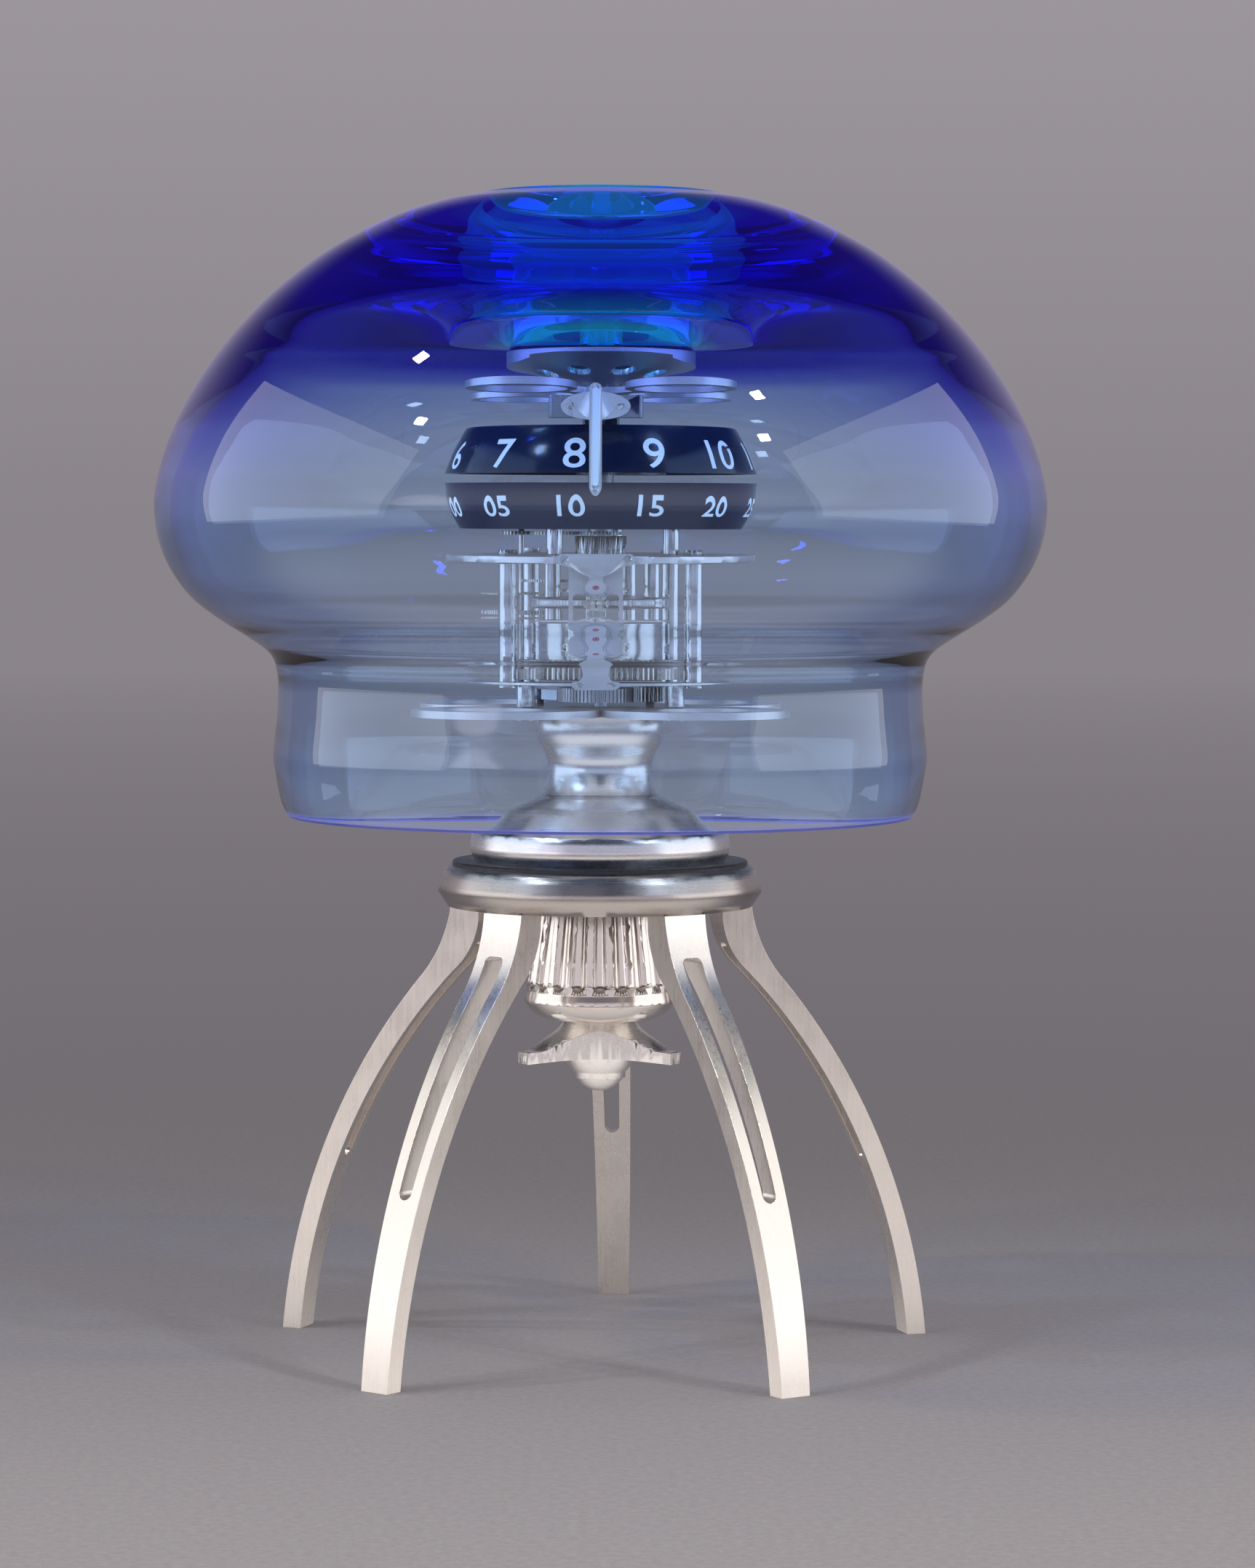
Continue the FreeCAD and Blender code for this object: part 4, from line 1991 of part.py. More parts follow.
def make_idler():
    """The idler between the centre arbor and the minute hub, on a pin in the motion bridge."""
    thickness = S.motion_gear_thickness
    solid = wheel(
        S.idler_teeth, S.motion_gear_module, thickness, WHEEL_SPOKES, idler_turn, motion_gear_base
    )
    pin_base = motion_gear_base - S.running_clearance * 6
    pin = cylinder(S.idler_pin_radius, motion_bridge_top - S.running_clearance - pin_base, pin_base)
    feature("idler_wheel", moved(solid.fuse(pin).removeSplitter(), *idler_place))


make_minute_hub()
make_hour_hub()
make_reduction_wheel()
make_reduction_arm()
make_idler()

# Column, crown and pointer

post_shoulder = hour_top + S.post_shoulder_gap
post_top = floor_top + S.post_above_floor
post_tip_hole = S.post_tip_radius + S.seat_clearance
turned("centre_post", [
    (0, upper_plate_top),
    (S.post_flange_radius, upper_plate_top),
    (S.post_flange_radius, upper_plate_top + S.post_flange_height),
    (S.post_radius, upper_plate_top + S.post_flange_height),
    (S.post_radius, post_shoulder),
    (S.post_tip_radius, post_shoulder),
    (S.post_tip_radius, post_top),
    (0, post_top),
])


def make_crown_bridge():
    """The four open loops over the rings, blended into a hub on the column."""
    loops = []
    windows = []
    for loop in range(4):
        angle = 45 + 90 * loop
        place = polar(S.crown_loop_circle_radius, angle)
        loops.append(Part.Face(Part.Wire(Part.makeCircle(float(S.crown_loop_radius), Vector(*place, 0)))))
        inner = S.crown_loop_radius - S.crown_loop_band
        windows.append(Part.Face(Part.Wire(Part.makeCircle(float(inner), Vector(*place, 0)))))
        reach = float(S.crown_loop_circle_radius - inner)
        half = float(S.crown_arm_width) / 2
        corners = [Vector(0, -half, 0), Vector(reach, -half, 0), Vector(reach, half, 0), Vector(0, half, 0)]
        bar = Part.Face(Part.makePolygon(corners + corners[:1]))
        loops.append(moved(bar, turn=angle))
    hub = Part.Face(Part.Wire(Part.makeCircle(float(S.crown_hub_radius))))
    flat = hub.fuse(loops).removeSplitter().Faces[0]
    blend = float(S.crown_blend)
    outline = flat.makeOffset2D(blend).makeOffset2D(-blend).cut(windows)
    solid = outline.extrude(Vector(0, 0, float(S.crown_thickness))).Solids[0]
    solid = solid.cut(cylinder(post_tip_hole, S.crown_thickness + 2 * S.cut_overrun, -S.cut_overrun))
    feature("crown_bridge", moved(solid, z=crown_base))


make_crown_bridge()


def make_cup():
    """The open funnel that carries the glass: a flange on a conical wall with oval windows."""
    tube_outer = S.cup_tube_radius
    flange_base = cup_top - S.cup_flange_thickness
    rim = S.cup_flange_radius
    wall = S.cup_wall
    neck_top = crown_top + S.cup_neck_height
    bottom = S.cup_bottom_radius
    shell = revolved([
        (post_tip_hole, crown_top),
        (bottom, crown_top),
        (bottom, neck_top),
        (rim - wall, flange_base),
        (rim, flange_base),
        (rim, cup_top),
        (rim - 3 * wall, cup_top),
        (rim - 3 * wall, flange_base + wall),
        (bottom, neck_top + wall),
        (tube_outer, neck_top + wall),
        (tube_outer, cup_top - wall),
        (post_tip_hole, cup_top - wall),
    ])
    middle_radius = (float(rim) + float(bottom)) / 2
    middle_z = float(neck_top + flange_base) / 2
    windows = []
    count = round(float(S.cup_window_count))
    reach = float(S.cup_window_reach_share * wall)
    for window in range(count):
        start = Vector(middle_radius, 0, middle_z - reach)
        cutter = Part.makeCylinder(float(S.cup_window_radius), 2 * reach, start)
        windows.append(moved(cutter, turn=FULL_TURN * (window + 0.5) / count))
    feature("dome_cup", shell.cut(windows).removeSplitter())


make_cup()
turned("dome_gasket", [
    (S.gasket_inner_radius, cup_top),
    (S.dome_neck_radius, cup_top),
    (S.dome_neck_radius, glass_seat),
    (S.gasket_inner_radius, glass_seat),
])

pointer_tip = minute_top - S.pointer_overlap
pointer_top = pointer_tip + S.pointer_length
oval_z = pointer_top - S.pointer_oval_drop
oval_back = S.pointer_front - S.pointer_bar_thickness - S.pointer_plate_thickness


def make_pointer():
    """The fixed pointer: an upright bar with a groove for its insert, on an oval plate."""
    half = float(S.pointer_half_width)
    up = float(pointer_top - oval_z) - half
    down = float(pointer_tip - oval_z) + half
    bar_back = float(oval_back + S.pointer_plate_thickness)
    bar = prism([(-half, down), (half, down), (half, up), (-half, up)], S.pointer_bar_thickness, bar_back)
    ends = [cylinder(half, S.pointer_bar_thickness, bar_back, (0, place)) for place in (down, up)]
    oval = cylinder(1, S.pointer_plate_thickness, 0)
    stretch = FreeCAD.Matrix()
    stretch.scale(float(S.pointer_oval_half_width), float(S.pointer_oval_half_height), 1)
    oval = oval.transformGeometry(stretch)
    oval.translate(Vector(0, 0, float(oval_back)))
    solid = bar.fuse(ends + [oval]).removeSplitter()
    groove_half = float(S.pointer_groove_half_width)
    groove_base = float(S.pointer_front - S.pointer_groove_depth)
    depth = 2 * S.pointer_groove_depth
    corners = [(-groove_half, down), (groove_half, down), (groove_half, up), (-groove_half, up)]
    groove = prism(corners, depth, groove_base)
    groove = groove.fuse([cylinder(groove_half, depth, groove_base, (0, place)) for place in (down, up)])
    cuts = [groove]
    for sign in (1, -1):
        shank = S.cock_screw_radius + S.running_clearance
        depth = S.pointer_plate_thickness + 2 * S.cut_overrun
        cuts.append(cylinder(shank, depth, oval_back - S.cut_overrun, (sign * S.pointer_screw_x, 0)))
    solid = facing_front(solid.cut(cuts), 0, 0, oval_z)
    solid.rotate(Vector(0, 0, 0), Vector(0, 0, 1), float(S.pointer_turn))
    feature("pointer", solid)


def make_pointer_bracket():
    """The bracket on the column that holds the pointer out in front of the rings."""
    back = float(oval_back - S.bracket_bar_thickness)
    half = float(S.bracket_half_width)
    height = float(S.bracket_height)
    bar = Part.makeBox(
        2 * half, float(S.bracket_bar_thickness), height,
        Vector(-half, -float(oval_back), float(oval_z) - height / 2),
    )
    upright = [edge for edge in bar.Edges if abs(edge.tangentAt(edge.FirstParameter).z) > UPRIGHT_SHARE]
    bar = bar.makeFillet(float(S.bracket_bar_thickness) / 3, upright)
    arm_half = float(S.bracket_arm_half_width)
    arm_z = float(oval_z) - float(S.bracket_arm_thickness) / 2
    arm_length = back + float(S.bracket_arm_overlap)
    corner = Vector(-arm_half, -arm_length, arm_z)
    arm = Part.makeBox(2 * arm_half, arm_length, float(S.bracket_arm_thickness), corner)
    hub_height = crown_base - post_shoulder
    hub = cylinder(S.bracket_hub_radius, hub_height, post_shoulder)
    bore = cylinder(post_tip_hole, hub_height + 2 * S.cut_overrun, post_shoulder - S.cut_overrun)
    cuts = [bore]
    for sign in (1, -1):
        depth = S.bracket_bar_thickness + 2 * S.cut_overrun
        hole = cylinder(S.cock_screw_radius + S.running_clearance, depth, back - float(S.cut_overrun))
        cuts.append(facing_front(hole, sign * float(S.pointer_screw_x), 0, oval_z))
    solid = hub.fuse([bar, arm]).cut(cuts).removeSplitter()
    solid.rotate(Vector(0, 0, 0), Vector(0, 0, 1), float(S.pointer_turn))
    feature("pointer_bracket", solid)


def make_pointer_screws():
    """The two small screws that hold the pointer to its bracket."""
    screw = slotted_screw(
        S.cock_screw_radius, S.cock_screw_length, S.cock_screw_head_radius, S.cock_screw_head_height,
        S.cock_screw_slot_width, S.cock_screw_slot_depth,
    )
    screws = []
    for sign, slot_turn in POINTER_SLOT_TURNS:
        head_seat = oval_back + S.pointer_plate_thickness
        copy = facing_front(screw, sign * float(S.pointer_screw_x), head_seat, oval_z, slot_turn)
        copy.rotate(Vector(0, 0, 0), Vector(0, 0, 1), float(S.pointer_turn))
        screws.append(copy)
    return screws


make_pointer()
make_pointer_bracket()
feature("small_screws", Part.makeCompound(cock_screws + make_pointer_screws()))

# Glass dome
# The outside as shares of the dome's radius and height, from the rim up to the lip of the well.
DOME_OUTER_SHARES = [
    (0.703, 0.0045), (0.7185, 0.030), (0.7310, 0.077), (0.7352, 0.100), (0.7320, 0.130),
    (0.7265, 0.165), (0.7240, 0.212), (0.7280, 0.240), (0.7370, 0.258), (0.7560, 0.273),
    (0.7950, 0.292), (0.8650, 0.323), (0.9216, 0.3563), (0.9672, 0.4025), (0.9904, 0.449),
    (1.0000, 0.496), (0.9936, 0.5353), (0.9752, 0.5872), (0.9456, 0.6391), (0.9056, 0.691),
    (0.8560, 0.743), (0.7952, 0.7948), (0.7200, 0.8472), (0.6240, 0.8996), (0.5392, 0.9344),
    (0.4560, 0.9624), (0.3768, 0.9812), (0.3240, 0.9892), (0.2760, 0.9955),
]
# The inside as shares of the inner radius and of the height, from the rim up to the boss.
DOME_INNER_SHARES = [
    (0.7000, 0.0045), (0.7140, 0.030), (0.7220, 0.077), (0.7255, 0.100), (0.7225, 0.130),
    (0.7170, 0.165), (0.7145, 0.210), (0.7185, 0.236), (0.7300, 0.256), (0.7520, 0.273),
    (0.8150, 0.303), (0.8820, 0.334), (0.9400, 0.372), (0.9780, 0.414), (0.9950, 0.455),
    (0.9970, 0.500), (0.9895, 0.535), (0.9700, 0.586), (0.9340, 0.636), (0.8840, 0.684),
    (0.8220, 0.733), (0.7480, 0.784), (0.6700, 0.822), (0.5800, 0.8475), (0.4900, 0.853),
    (0.4150, 0.8400),
]


def make_dome():
    """The blown bell: thin at the skirt, thick over the shoulder, with a deep well in its top."""
    outer_radius = float(S.dome_radius)
    inner_radius = float(S.dome_radius - S.dome_wall)
    height = float(S.dome_height)
    base = float(dome_base)
    outer_points = [Vector(r * outer_radius, 0, base + z * height) for r, z in DOME_OUTER_SHARES]
    inner_points = [Vector(r * inner_radius, 0, base + z * height) for r, z in DOME_INNER_SHARES]
    outer = Part.BSplineCurve()
    outer.interpolate(outer_points)
    inner = Part.BSplineCurve()
    inner.interpolate(inner_points)
    seat = float(glass_seat)
    floor = float(floor_top)
    top = base + height
    rim_middle = (outer_points[0] + inner_points[0]) / 2
    rim_low = Vector(rim_middle.x, 0, base)
    mouth = float(S.dome_well_mouth_radius)
    lip_top = Vector((mouth + outer_points[-1].x) / 2, 0, top)
    mouth_point = Vector(mouth, 0, outer_points[-1].z)
    well = float(S.dome_well_radius)
    thickness = float(S.dome_floor_thickness)
    rounding = thickness * float(S.dome_round_share)
    well_corner = Vector(well - thickness, 0, floor)
    well_side = Vector(well, 0, floor + thickness)
    corner_middle = Vector(well - rounding, 0, floor + rounding)
    hole = float(S.dome_rod_hole_radius)
    neck = float(S.dome_neck_radius)
    boss = Vector(float(S.dome_boss_radius), 0, floor - thickness * float(S.dome_boss_drop_share))
    boss_end = inner_points[-1]
    neck_top = Vector(neck, 0, seat + thickness * float(S.dome_neck_rise_share))
    under = Vector((neck + boss.x) / 2, 0, seat + thickness * float(S.dome_under_rise_share))
    lip_height = (boss.z + boss_end.z) / 2 - float(S.dome_boss_sag)
    lip_out = Vector(boss.x + float(S.dome_boss_bulge), 0, lip_height)
    edges = [
        outer.toShape(),
        Part.Arc(outer_points[-1], lip_top, mouth_point).toShape(),
        Part.makeLine(mouth_point, well_side),
        Part.Arc(well_side, corner_middle, well_corner).toShape(),
        Part.makeLine(well_corner, Vector(hole, 0, floor)),
        Part.makeLine(Vector(hole, 0, floor), Vector(hole, 0, seat)),
        Part.makeLine(Vector(hole, 0, seat), Vector(neck, 0, seat)),
        Part.makeLine(Vector(neck, 0, seat), neck_top),
        Part.Arc(neck_top, under, boss).toShape(),
        Part.Arc(boss, lip_out, boss_end).toShape(),
        inner.toShape(),
        Part.Arc(inner_points[0], rim_low, outer_points[0]).toShape(),
    ]
    wire = Part.Wire(Part.__sortEdges__(edges))
    solid = Part.Face(wire).revolve(Vector(0, 0, 0), Vector(0, 0, 1), FULL_TURN)
    if solid.Volume < 0:
        solid.reverse()
    # The one glass is drawn as rings that touch, so that each keeps the hollow it bends round. The ring
    # with the well is a piece of its own.
    levels = [base - float(S.cut_overrun)]
    for share in (S.dome_waist_share, S.dome_belly_share, S.dome_shoulder_share):
        levels.append(base + height * float(share))
    levels.append(top + float(S.cut_overrun))
    rings = []
    for low, high in zip(levels, levels[1:]):
        rings += solid.common(cylinder(outer_radius + float(S.cut_overrun), high - low, low)).Solids
    feature("glass_dome", Part.makeCompound(rings[:-1]))
    feature("glass_crown", rings[-1])


make_dome()


def make_dome_nut():
    """The clamp in the well that holds the glass down on the cup."""
    disc = cylinder(S.dome_nut_radius, S.dome_nut_thickness, floor_top)
    disc_top = floor_top + S.dome_nut_thickness
    hexagonal = prism(hexagon(S.dome_nut_hex_radius), S.dome_nut_hex_height, disc_top)
    height = S.dome_nut_thickness + S.dome_nut_hex_height + 2 * S.cut_overrun
    bore = cylinder(S.post_tip_radius + S.running_clearance, height, floor_top - S.cut_overrun)
    feature("dome_nut", disc.fuse(hexagonal).cut(bore).removeSplitter())


make_dome_nut()

# Check and export

doc.recompute()
faults = []
for item in doc.Objects:
    if "Invalid" in item.State or "Error" in item.State:
        faults.append(f"{item.Name} is {item.State}")
for piece in pieces:
    if piece.Shape.isNull() or not piece.Shape.isValid() or not piece.Shape.Solids:
        faults.append(f"{piece.Label} has no sound shape")
if faults:
    raise RuntimeError("; ".join(faults))

os.makedirs("parts", exist_ok=True)
for piece in pieces:
    piece.Shape.exportStep(f"parts/{piece.Label}.step")
print(len(pieces), "pieces,", sum(len(piece.Shape.Solids) for piece in pieces), "solids")
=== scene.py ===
# %% [markdown]
# # A mystery clock under glass
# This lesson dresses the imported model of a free-standing clock. The model gives every wheel, plate and leg
# its true size and place. Blender adds what the eye reads first: blown glass, brushed and polished metal,
# and the numbers on the two rings. Everything is in metres, with +Z up and the front of the clock at -Y.

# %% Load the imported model
import json
import math
import bpy
from mathutils import Matrix, Vector


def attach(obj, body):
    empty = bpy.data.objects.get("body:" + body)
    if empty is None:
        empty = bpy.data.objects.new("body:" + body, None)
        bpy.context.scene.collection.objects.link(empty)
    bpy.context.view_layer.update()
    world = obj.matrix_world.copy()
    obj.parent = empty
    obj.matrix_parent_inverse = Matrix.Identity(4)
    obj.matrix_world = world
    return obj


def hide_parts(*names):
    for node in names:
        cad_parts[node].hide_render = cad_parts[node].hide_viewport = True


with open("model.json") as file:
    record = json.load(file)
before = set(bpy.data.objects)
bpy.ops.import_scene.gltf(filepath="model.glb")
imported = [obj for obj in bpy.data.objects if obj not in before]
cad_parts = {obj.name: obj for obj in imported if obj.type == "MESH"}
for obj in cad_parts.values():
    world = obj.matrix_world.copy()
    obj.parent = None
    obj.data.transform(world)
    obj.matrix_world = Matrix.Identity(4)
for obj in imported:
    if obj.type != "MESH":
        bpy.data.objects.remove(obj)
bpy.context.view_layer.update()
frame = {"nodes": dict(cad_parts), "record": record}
MM = 0.001
scene = bpy.context.scene

# %% [markdown]
# The photograph was taken a little above the middle of the clock, from about 1.36 m away, with a long
# lens. Putting the camera there first means that every later choice can be judged from where it counts.
# The small yaw and roll come from the legs and the rim of the glass, which lean that way in the picture.

# %% Camera
CAMERA_PLACE = (0, -1.3561, 0.2346)
CAMERA_LENS = 110.65
CAMERA_FILM = 36
CAMERA_PITCH = math.radians(90 - 3.17)
CAMERA_YAW = math.radians(-0.325)
CAMERA_ROLL = math.radians(0.15)
camera_data = bpy.data.cameras.new("camera")
camera_data.sensor_fit = "VERTICAL"
camera_data.sensor_height = CAMERA_FILM
camera_data.sensor_width = CAMERA_FILM
camera_data.lens = CAMERA_LENS
camera_data.clip_start = 0.05
camera_data.clip_end = 60
camera = bpy.data.objects.new("camera", camera_data)
scene.collection.objects.link(camera)
yaw = Matrix.Rotation(CAMERA_YAW, 4, "Z")
pitch = Matrix.Rotation(CAMERA_PITCH, 4, "X")
roll = Matrix.Rotation(CAMERA_ROLL, 4, "Z")
turn = yaw @ pitch @ roll
camera.matrix_world = Matrix.Translation(CAMERA_PLACE) @ turn
scene.camera = camera
print("Camera at", tuple(round(value, 4) for value in camera.matrix_world.translation))

# %% [markdown]
# Blender's operators act on whatever is selected, and the loaded nodes arrive selected. These small
# helpers leave the scene clean before each piece, and give a finished piece its body and finish.

# %% Helpers for selecting and finishing


def deselect_all():
    """Nothing is selected or active afterwards."""
    if bpy.context.object and bpy.context.object.mode != "OBJECT":
        bpy.ops.object.mode_set(mode="OBJECT")
    for thing in bpy.context.selected_objects:
        thing.select_set(False)


def make_active(piece):
    deselect_all()
    piece.select_set(True)
    bpy.context.view_layer.objects.active = piece


def apply_modifier(piece, kind, **settings):
    """Adds a modifier, sets it and applies it, as by hand."""
    make_active(piece)
    modifier = piece.modifiers.new(kind.lower(), kind)
    for name, value in settings.items():
        setattr(modifier, name, value)
    bpy.ops.object.modifier_apply(modifier=modifier.name)


def shade_smooth(piece, degrees):
    make_active(piece)
    bpy.ops.object.shade_smooth_by_angle(angle=math.radians(degrees))


def finish_piece(piece, body, material):
    """Gives the piece its material, and lets it ride on its body."""
    piece.data.materials.clear()
    piece.data.materials.append(material)
    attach(piece, body)
    return piece


deselect_all()
print("Still selected:", len(bpy.context.selected_objects))

# %% [markdown]
# Most of the clock is metal that was finished in one of two ways. Satin parts were drawn across an
# abrasive, which leaves fine parallel lines, and turned parts have the same lines as rings round the axis.
# Both can be one noise texture that is stretched along the lines. A node group holds it once, with the
# fineness and the direction as inputs, and gives back a height for the bump and a mask for the roughness.

# %% Node group for brushed lines


def new_group(name, inputs, outputs):
    """An empty node group with number sockets of these names."""
    group = bpy.data.node_groups.new(name, "ShaderNodeTree")
    for way, names in (("INPUT", inputs), ("OUTPUT", outputs)):
        for socket_name in names:
            group.interface.new_socket(name=socket_name, in_out=way, socket_type="NodeSocketFloat")
    return group, group.nodes.new("NodeGroupInput"), group.nodes.new("NodeGroupOutput")


def add_node(tree, kind, **settings):
    node = tree.nodes.new(kind)
    for name, value in settings.items():
        setattr(node, name, value)
    return node


def add_math(tree, operation, first, second=None):
    """A Math node whose inputs are numbers or sockets."""
    node = add_node(tree, "ShaderNodeMath", operation=operation)
    for index, value in enumerate((first, second)):
        if value is None:
            continue
        if isinstance(value, (int, float)):
            node.inputs[index].default_value = value
        else:
            tree.links.new(value, node.inputs[index])
    return node.outputs[0]


def tone_between(tree, factor, first, second):
    """Mixes two colours by a factor. The first one is a colour or a socket."""
    mix = add_node(tree, "ShaderNodeMix", data_type="RGBA")
    if isinstance(first, bpy.types.NodeSocket):
        tree.links.new(first, mix.inputs[6])
    else:
        mix.inputs[6].default_value = (*first, 1)
    mix.inputs[7].default_value = (*second, 1)
    tree.links.new(factor, mix.inputs[0])
    return mix.outputs[2]


def fade_between(tree, value, low, high, kind="SMOOTHSTEP"):
    """From 0 at the low value to 1 at the high one."""
    fade = add_node(tree, "ShaderNodeMapRange", interpolation_type=kind)
    fade.inputs["From Min"].default_value = low
    fade.inputs["From Max"].default_value = high
    tree.links.new(value, fade.inputs["Value"])
    return fade.outputs["Result"]


def axis_distance(tree, split):
    """The distance from the clock's axis, from separated X and Y."""
    squared_x = add_math(tree, "POWER", split.outputs["X"], 2.0)
    squared_y = add_math(tree, "POWER", split.outputs["Y"], 2.0)
    return add_math(tree, "SQRT", add_math(tree, "ADD", squared_x, squared_y))


LINE_DETAIL = 4.0
LINE_ROUGHNESS = 0.65
CLOUD_SCALE = 90.0
CLOUD_DETAIL = 3.0
MASK_GAIN = 2.0


def brushed_lines_group():
    """Fine lines: straight ones stretched by three scales, or rings round the axis."""
    group, source, sink = new_group(
        "brushed_lines",
        ["Scale X", "Scale Y", "Scale Z", "Rings", "Ring Scale"],
        ["Height", "Mask"],
    )
    place = add_node(group, "ShaderNodeTexCoord")
    split = add_node(group, "ShaderNodeSeparateXYZ")
    group.links.new(place.outputs["Object"], split.inputs[0])
    straight = add_node(group, "ShaderNodeCombineXYZ")
    for axis in "XYZ":
        scaled = add_math(group, "MULTIPLY", split.outputs[axis], source.outputs[f"Scale {axis}"])
        group.links.new(scaled, straight.inputs[axis])
    rings = add_node(group, "ShaderNodeCombineXYZ")
    for value, axis in ((axis_distance(group, split), "X"), (split.outputs["Z"], "Z")):
        scaled = add_math(group, "MULTIPLY", value, source.outputs["Ring Scale"])
        group.links.new(scaled, rings.inputs[axis])
    choose = add_node(group, "ShaderNodeMix", data_type="VECTOR")
    group.links.new(source.outputs["Rings"], choose.inputs["Factor"])
    group.links.new(straight.outputs[0], choose.inputs[4])
    group.links.new(rings.outputs[0], choose.inputs[5])
    noise = add_node(group, "ShaderNodeTexNoise")
    noise.inputs["Scale"].default_value = 1.0
    noise.inputs["Detail"].default_value = LINE_DETAIL
    noise.inputs["Roughness"].default_value = LINE_ROUGHNESS
    group.links.new(choose.outputs[1], noise.inputs["Vector"])
    group.links.new(noise.outputs["Fac"], sink.inputs["Height"])
    cloud = add_node(group, "ShaderNodeTexNoise")
    cloud.inputs["Scale"].default_value = CLOUD_SCALE
    cloud.inputs["Detail"].default_value = CLOUD_DETAIL
    group.links.new(place.outputs["Object"], cloud.inputs["Vector"])
    blend = add_math(group, "MULTIPLY", noise.outputs["Fac"], cloud.outputs["Fac"])
    group.links.new(add_math(group, "MULTIPLY", blend, MASK_GAIN), sink.inputs["Mask"])
    return group


BRUSHED_LINES = brushed_lines_group()
print("Group sockets:", [item.name for item in BRUSHED_LINES.interface.items_tree])

# %% [markdown]
# Every metal is the same shader with its own colour, roughness and lines. The mask of the lines moves the
# roughness and the tone a little, and their height gives the bump. The black spacer, the navy lacquer and
# the rubber gasket use it too, with the metallic value at 0.

# %% Materials for metal
UPRIGHT_LINES = (900.0, 900.0, 25.0)
RING_SCALE = 4000.0
MASK_LOW = 0.25
MASK_HIGH = 0.85
DARK_GAIN = 0.9
LIGHT_GAIN = 1.06
LINE_DEPTH = 0.00004
SMOOTHEST = 0.02


def metal(name, color, roughness, spread, bump, rings=0.0, scales=UPRIGHT_LINES, metallic=1.0):
    """A metal whose roughness, tone and bump follow the brushed lines."""
    material = bpy.data.materials.new(name)
    material.use_nodes = True
    tree = material.node_tree
    shader = tree.nodes["Principled BSDF"]
    shader.inputs["Metallic"].default_value = metallic
    lines = add_node(tree, "ShaderNodeGroup", node_tree=BRUSHED_LINES)
    for axis, value in zip("XYZ", scales):
        lines.inputs[f"Scale {axis}"].default_value = value
    lines.inputs["Rings"].default_value = rings
    lines.inputs["Ring Scale"].default_value = RING_SCALE
    change = add_node(tree, "ShaderNodeMapRange")
    change.inputs["From Min"].default_value = MASK_LOW
    change.inputs["From Max"].default_value = MASK_HIGH
    change.inputs["To Min"].default_value = max(roughness - spread, SMOOTHEST)
    change.inputs["To Max"].default_value = roughness + spread
    tree.links.new(lines.outputs["Mask"], change.inputs["Value"])
    tree.links.new(change.outputs["Result"], shader.inputs["Roughness"])
    dark = [channel * DARK_GAIN for channel in color]
    light = [min(channel * LIGHT_GAIN, 1.0) for channel in color]
    tone = tone_between(tree, lines.outputs["Mask"], dark, light)
    tree.links.new(tone, shader.inputs["Base Color"])
    if bump > 0:
        relief = add_node(tree, "ShaderNodeBump")
        relief.inputs["Strength"].default_value = bump
        relief.inputs["Distance"].default_value = LINE_DEPTH
        tree.links.new(lines.outputs["Height"], relief.inputs["Height"])
        tree.links.new(relief.outputs["Normal"], shader.inputs["Normal"])
    return material


leg_metal = metal("leg_nickel", (0.80, 0.745, 0.69), 0.29, 0.04, 0.06, scales=(1200.0, 1200.0, 60.0))
turned_satin = metal("turned_satin", (0.82, 0.80, 0.80), 0.27, 0.06, 0.4, rings=1.0)
turned_polish = metal("turned_polish", (0.70, 0.655, 0.615), 0.17, 0.04, 0.15, rings=1.0)
# Painted shade: the base ring's satin nickel is a darker copy of turned_satin, which the foot and stem use.
ring_nickel_painted_shade = metal("ring_nickel_painted_shade", (0.49, 0.45, 0.42), 0.3, 0.06, 0.4, rings=1.0)
# Painted light: the knob's polished nickel is a lighter copy of turned_polish, which the sleeve uses.
knob_nickel_painted_light = metal("knob_nickel_painted_light", (0.95, 0.91, 0.87), 0.28, 0.05, 0.2, rings=1.0)
bracket_steel = metal("bracket_steel", (0.34, 0.36, 0.42), 0.3, 0.05, 0.1)
pointer_satin = metal("pointer_satin", (0.86, 0.88, 0.90), 0.34, 0.05, 0.1)
plate_satin = metal("plate_satin", (0.84, 0.84, 0.86), 0.38, 0.06, 0.2, scales=(60.0, 1800.0, 1800.0))
pillar_polish = metal("pillar_polish", (0.74, 0.74, 0.76), 0.15, 0.04, 0.0)
wheel_metal = metal("wheel_steel", (0.66, 0.65, 0.64), 0.22, 0.06, 0.1)
balance_metal = metal("balance_gilt", (0.80, 0.77, 0.70), 0.18, 0.05, 0.0)
spring_metal = metal("spring_steel", (0.42, 0.46, 0.56), 0.2, 0.05, 0.0)
black_satin = metal("black_satin", (0.016, 0.016, 0.018), 0.38, 0.08, 0.2, rings=1.0, metallic=0.0)
navy_gloss = metal("navy_gloss", (0.012, 0.020, 0.055), 0.14, 0.03, 0.0, metallic=0.0)
rubber = metal("gasket_rubber", (0.03, 0.03, 0.035), 0.6, 0.1, 0.1, metallic=0.0)
print("Metals:", len(bpy.data.materials))

# %% [markdown]
# The digits and the strip in the pointer are filled with a pale paint that glows in the dark, though not by day.
# By day it is a matt blue white: a rough shader with a very slight grain, and a painted glow that lifts its
# brightness. The jewels are clear red stone.

# %% Luminous paint and ruby
GRAIN = 0.04
GRAIN_SCALE = 2500.0
GRAIN_ROUGHNESS = 0.05


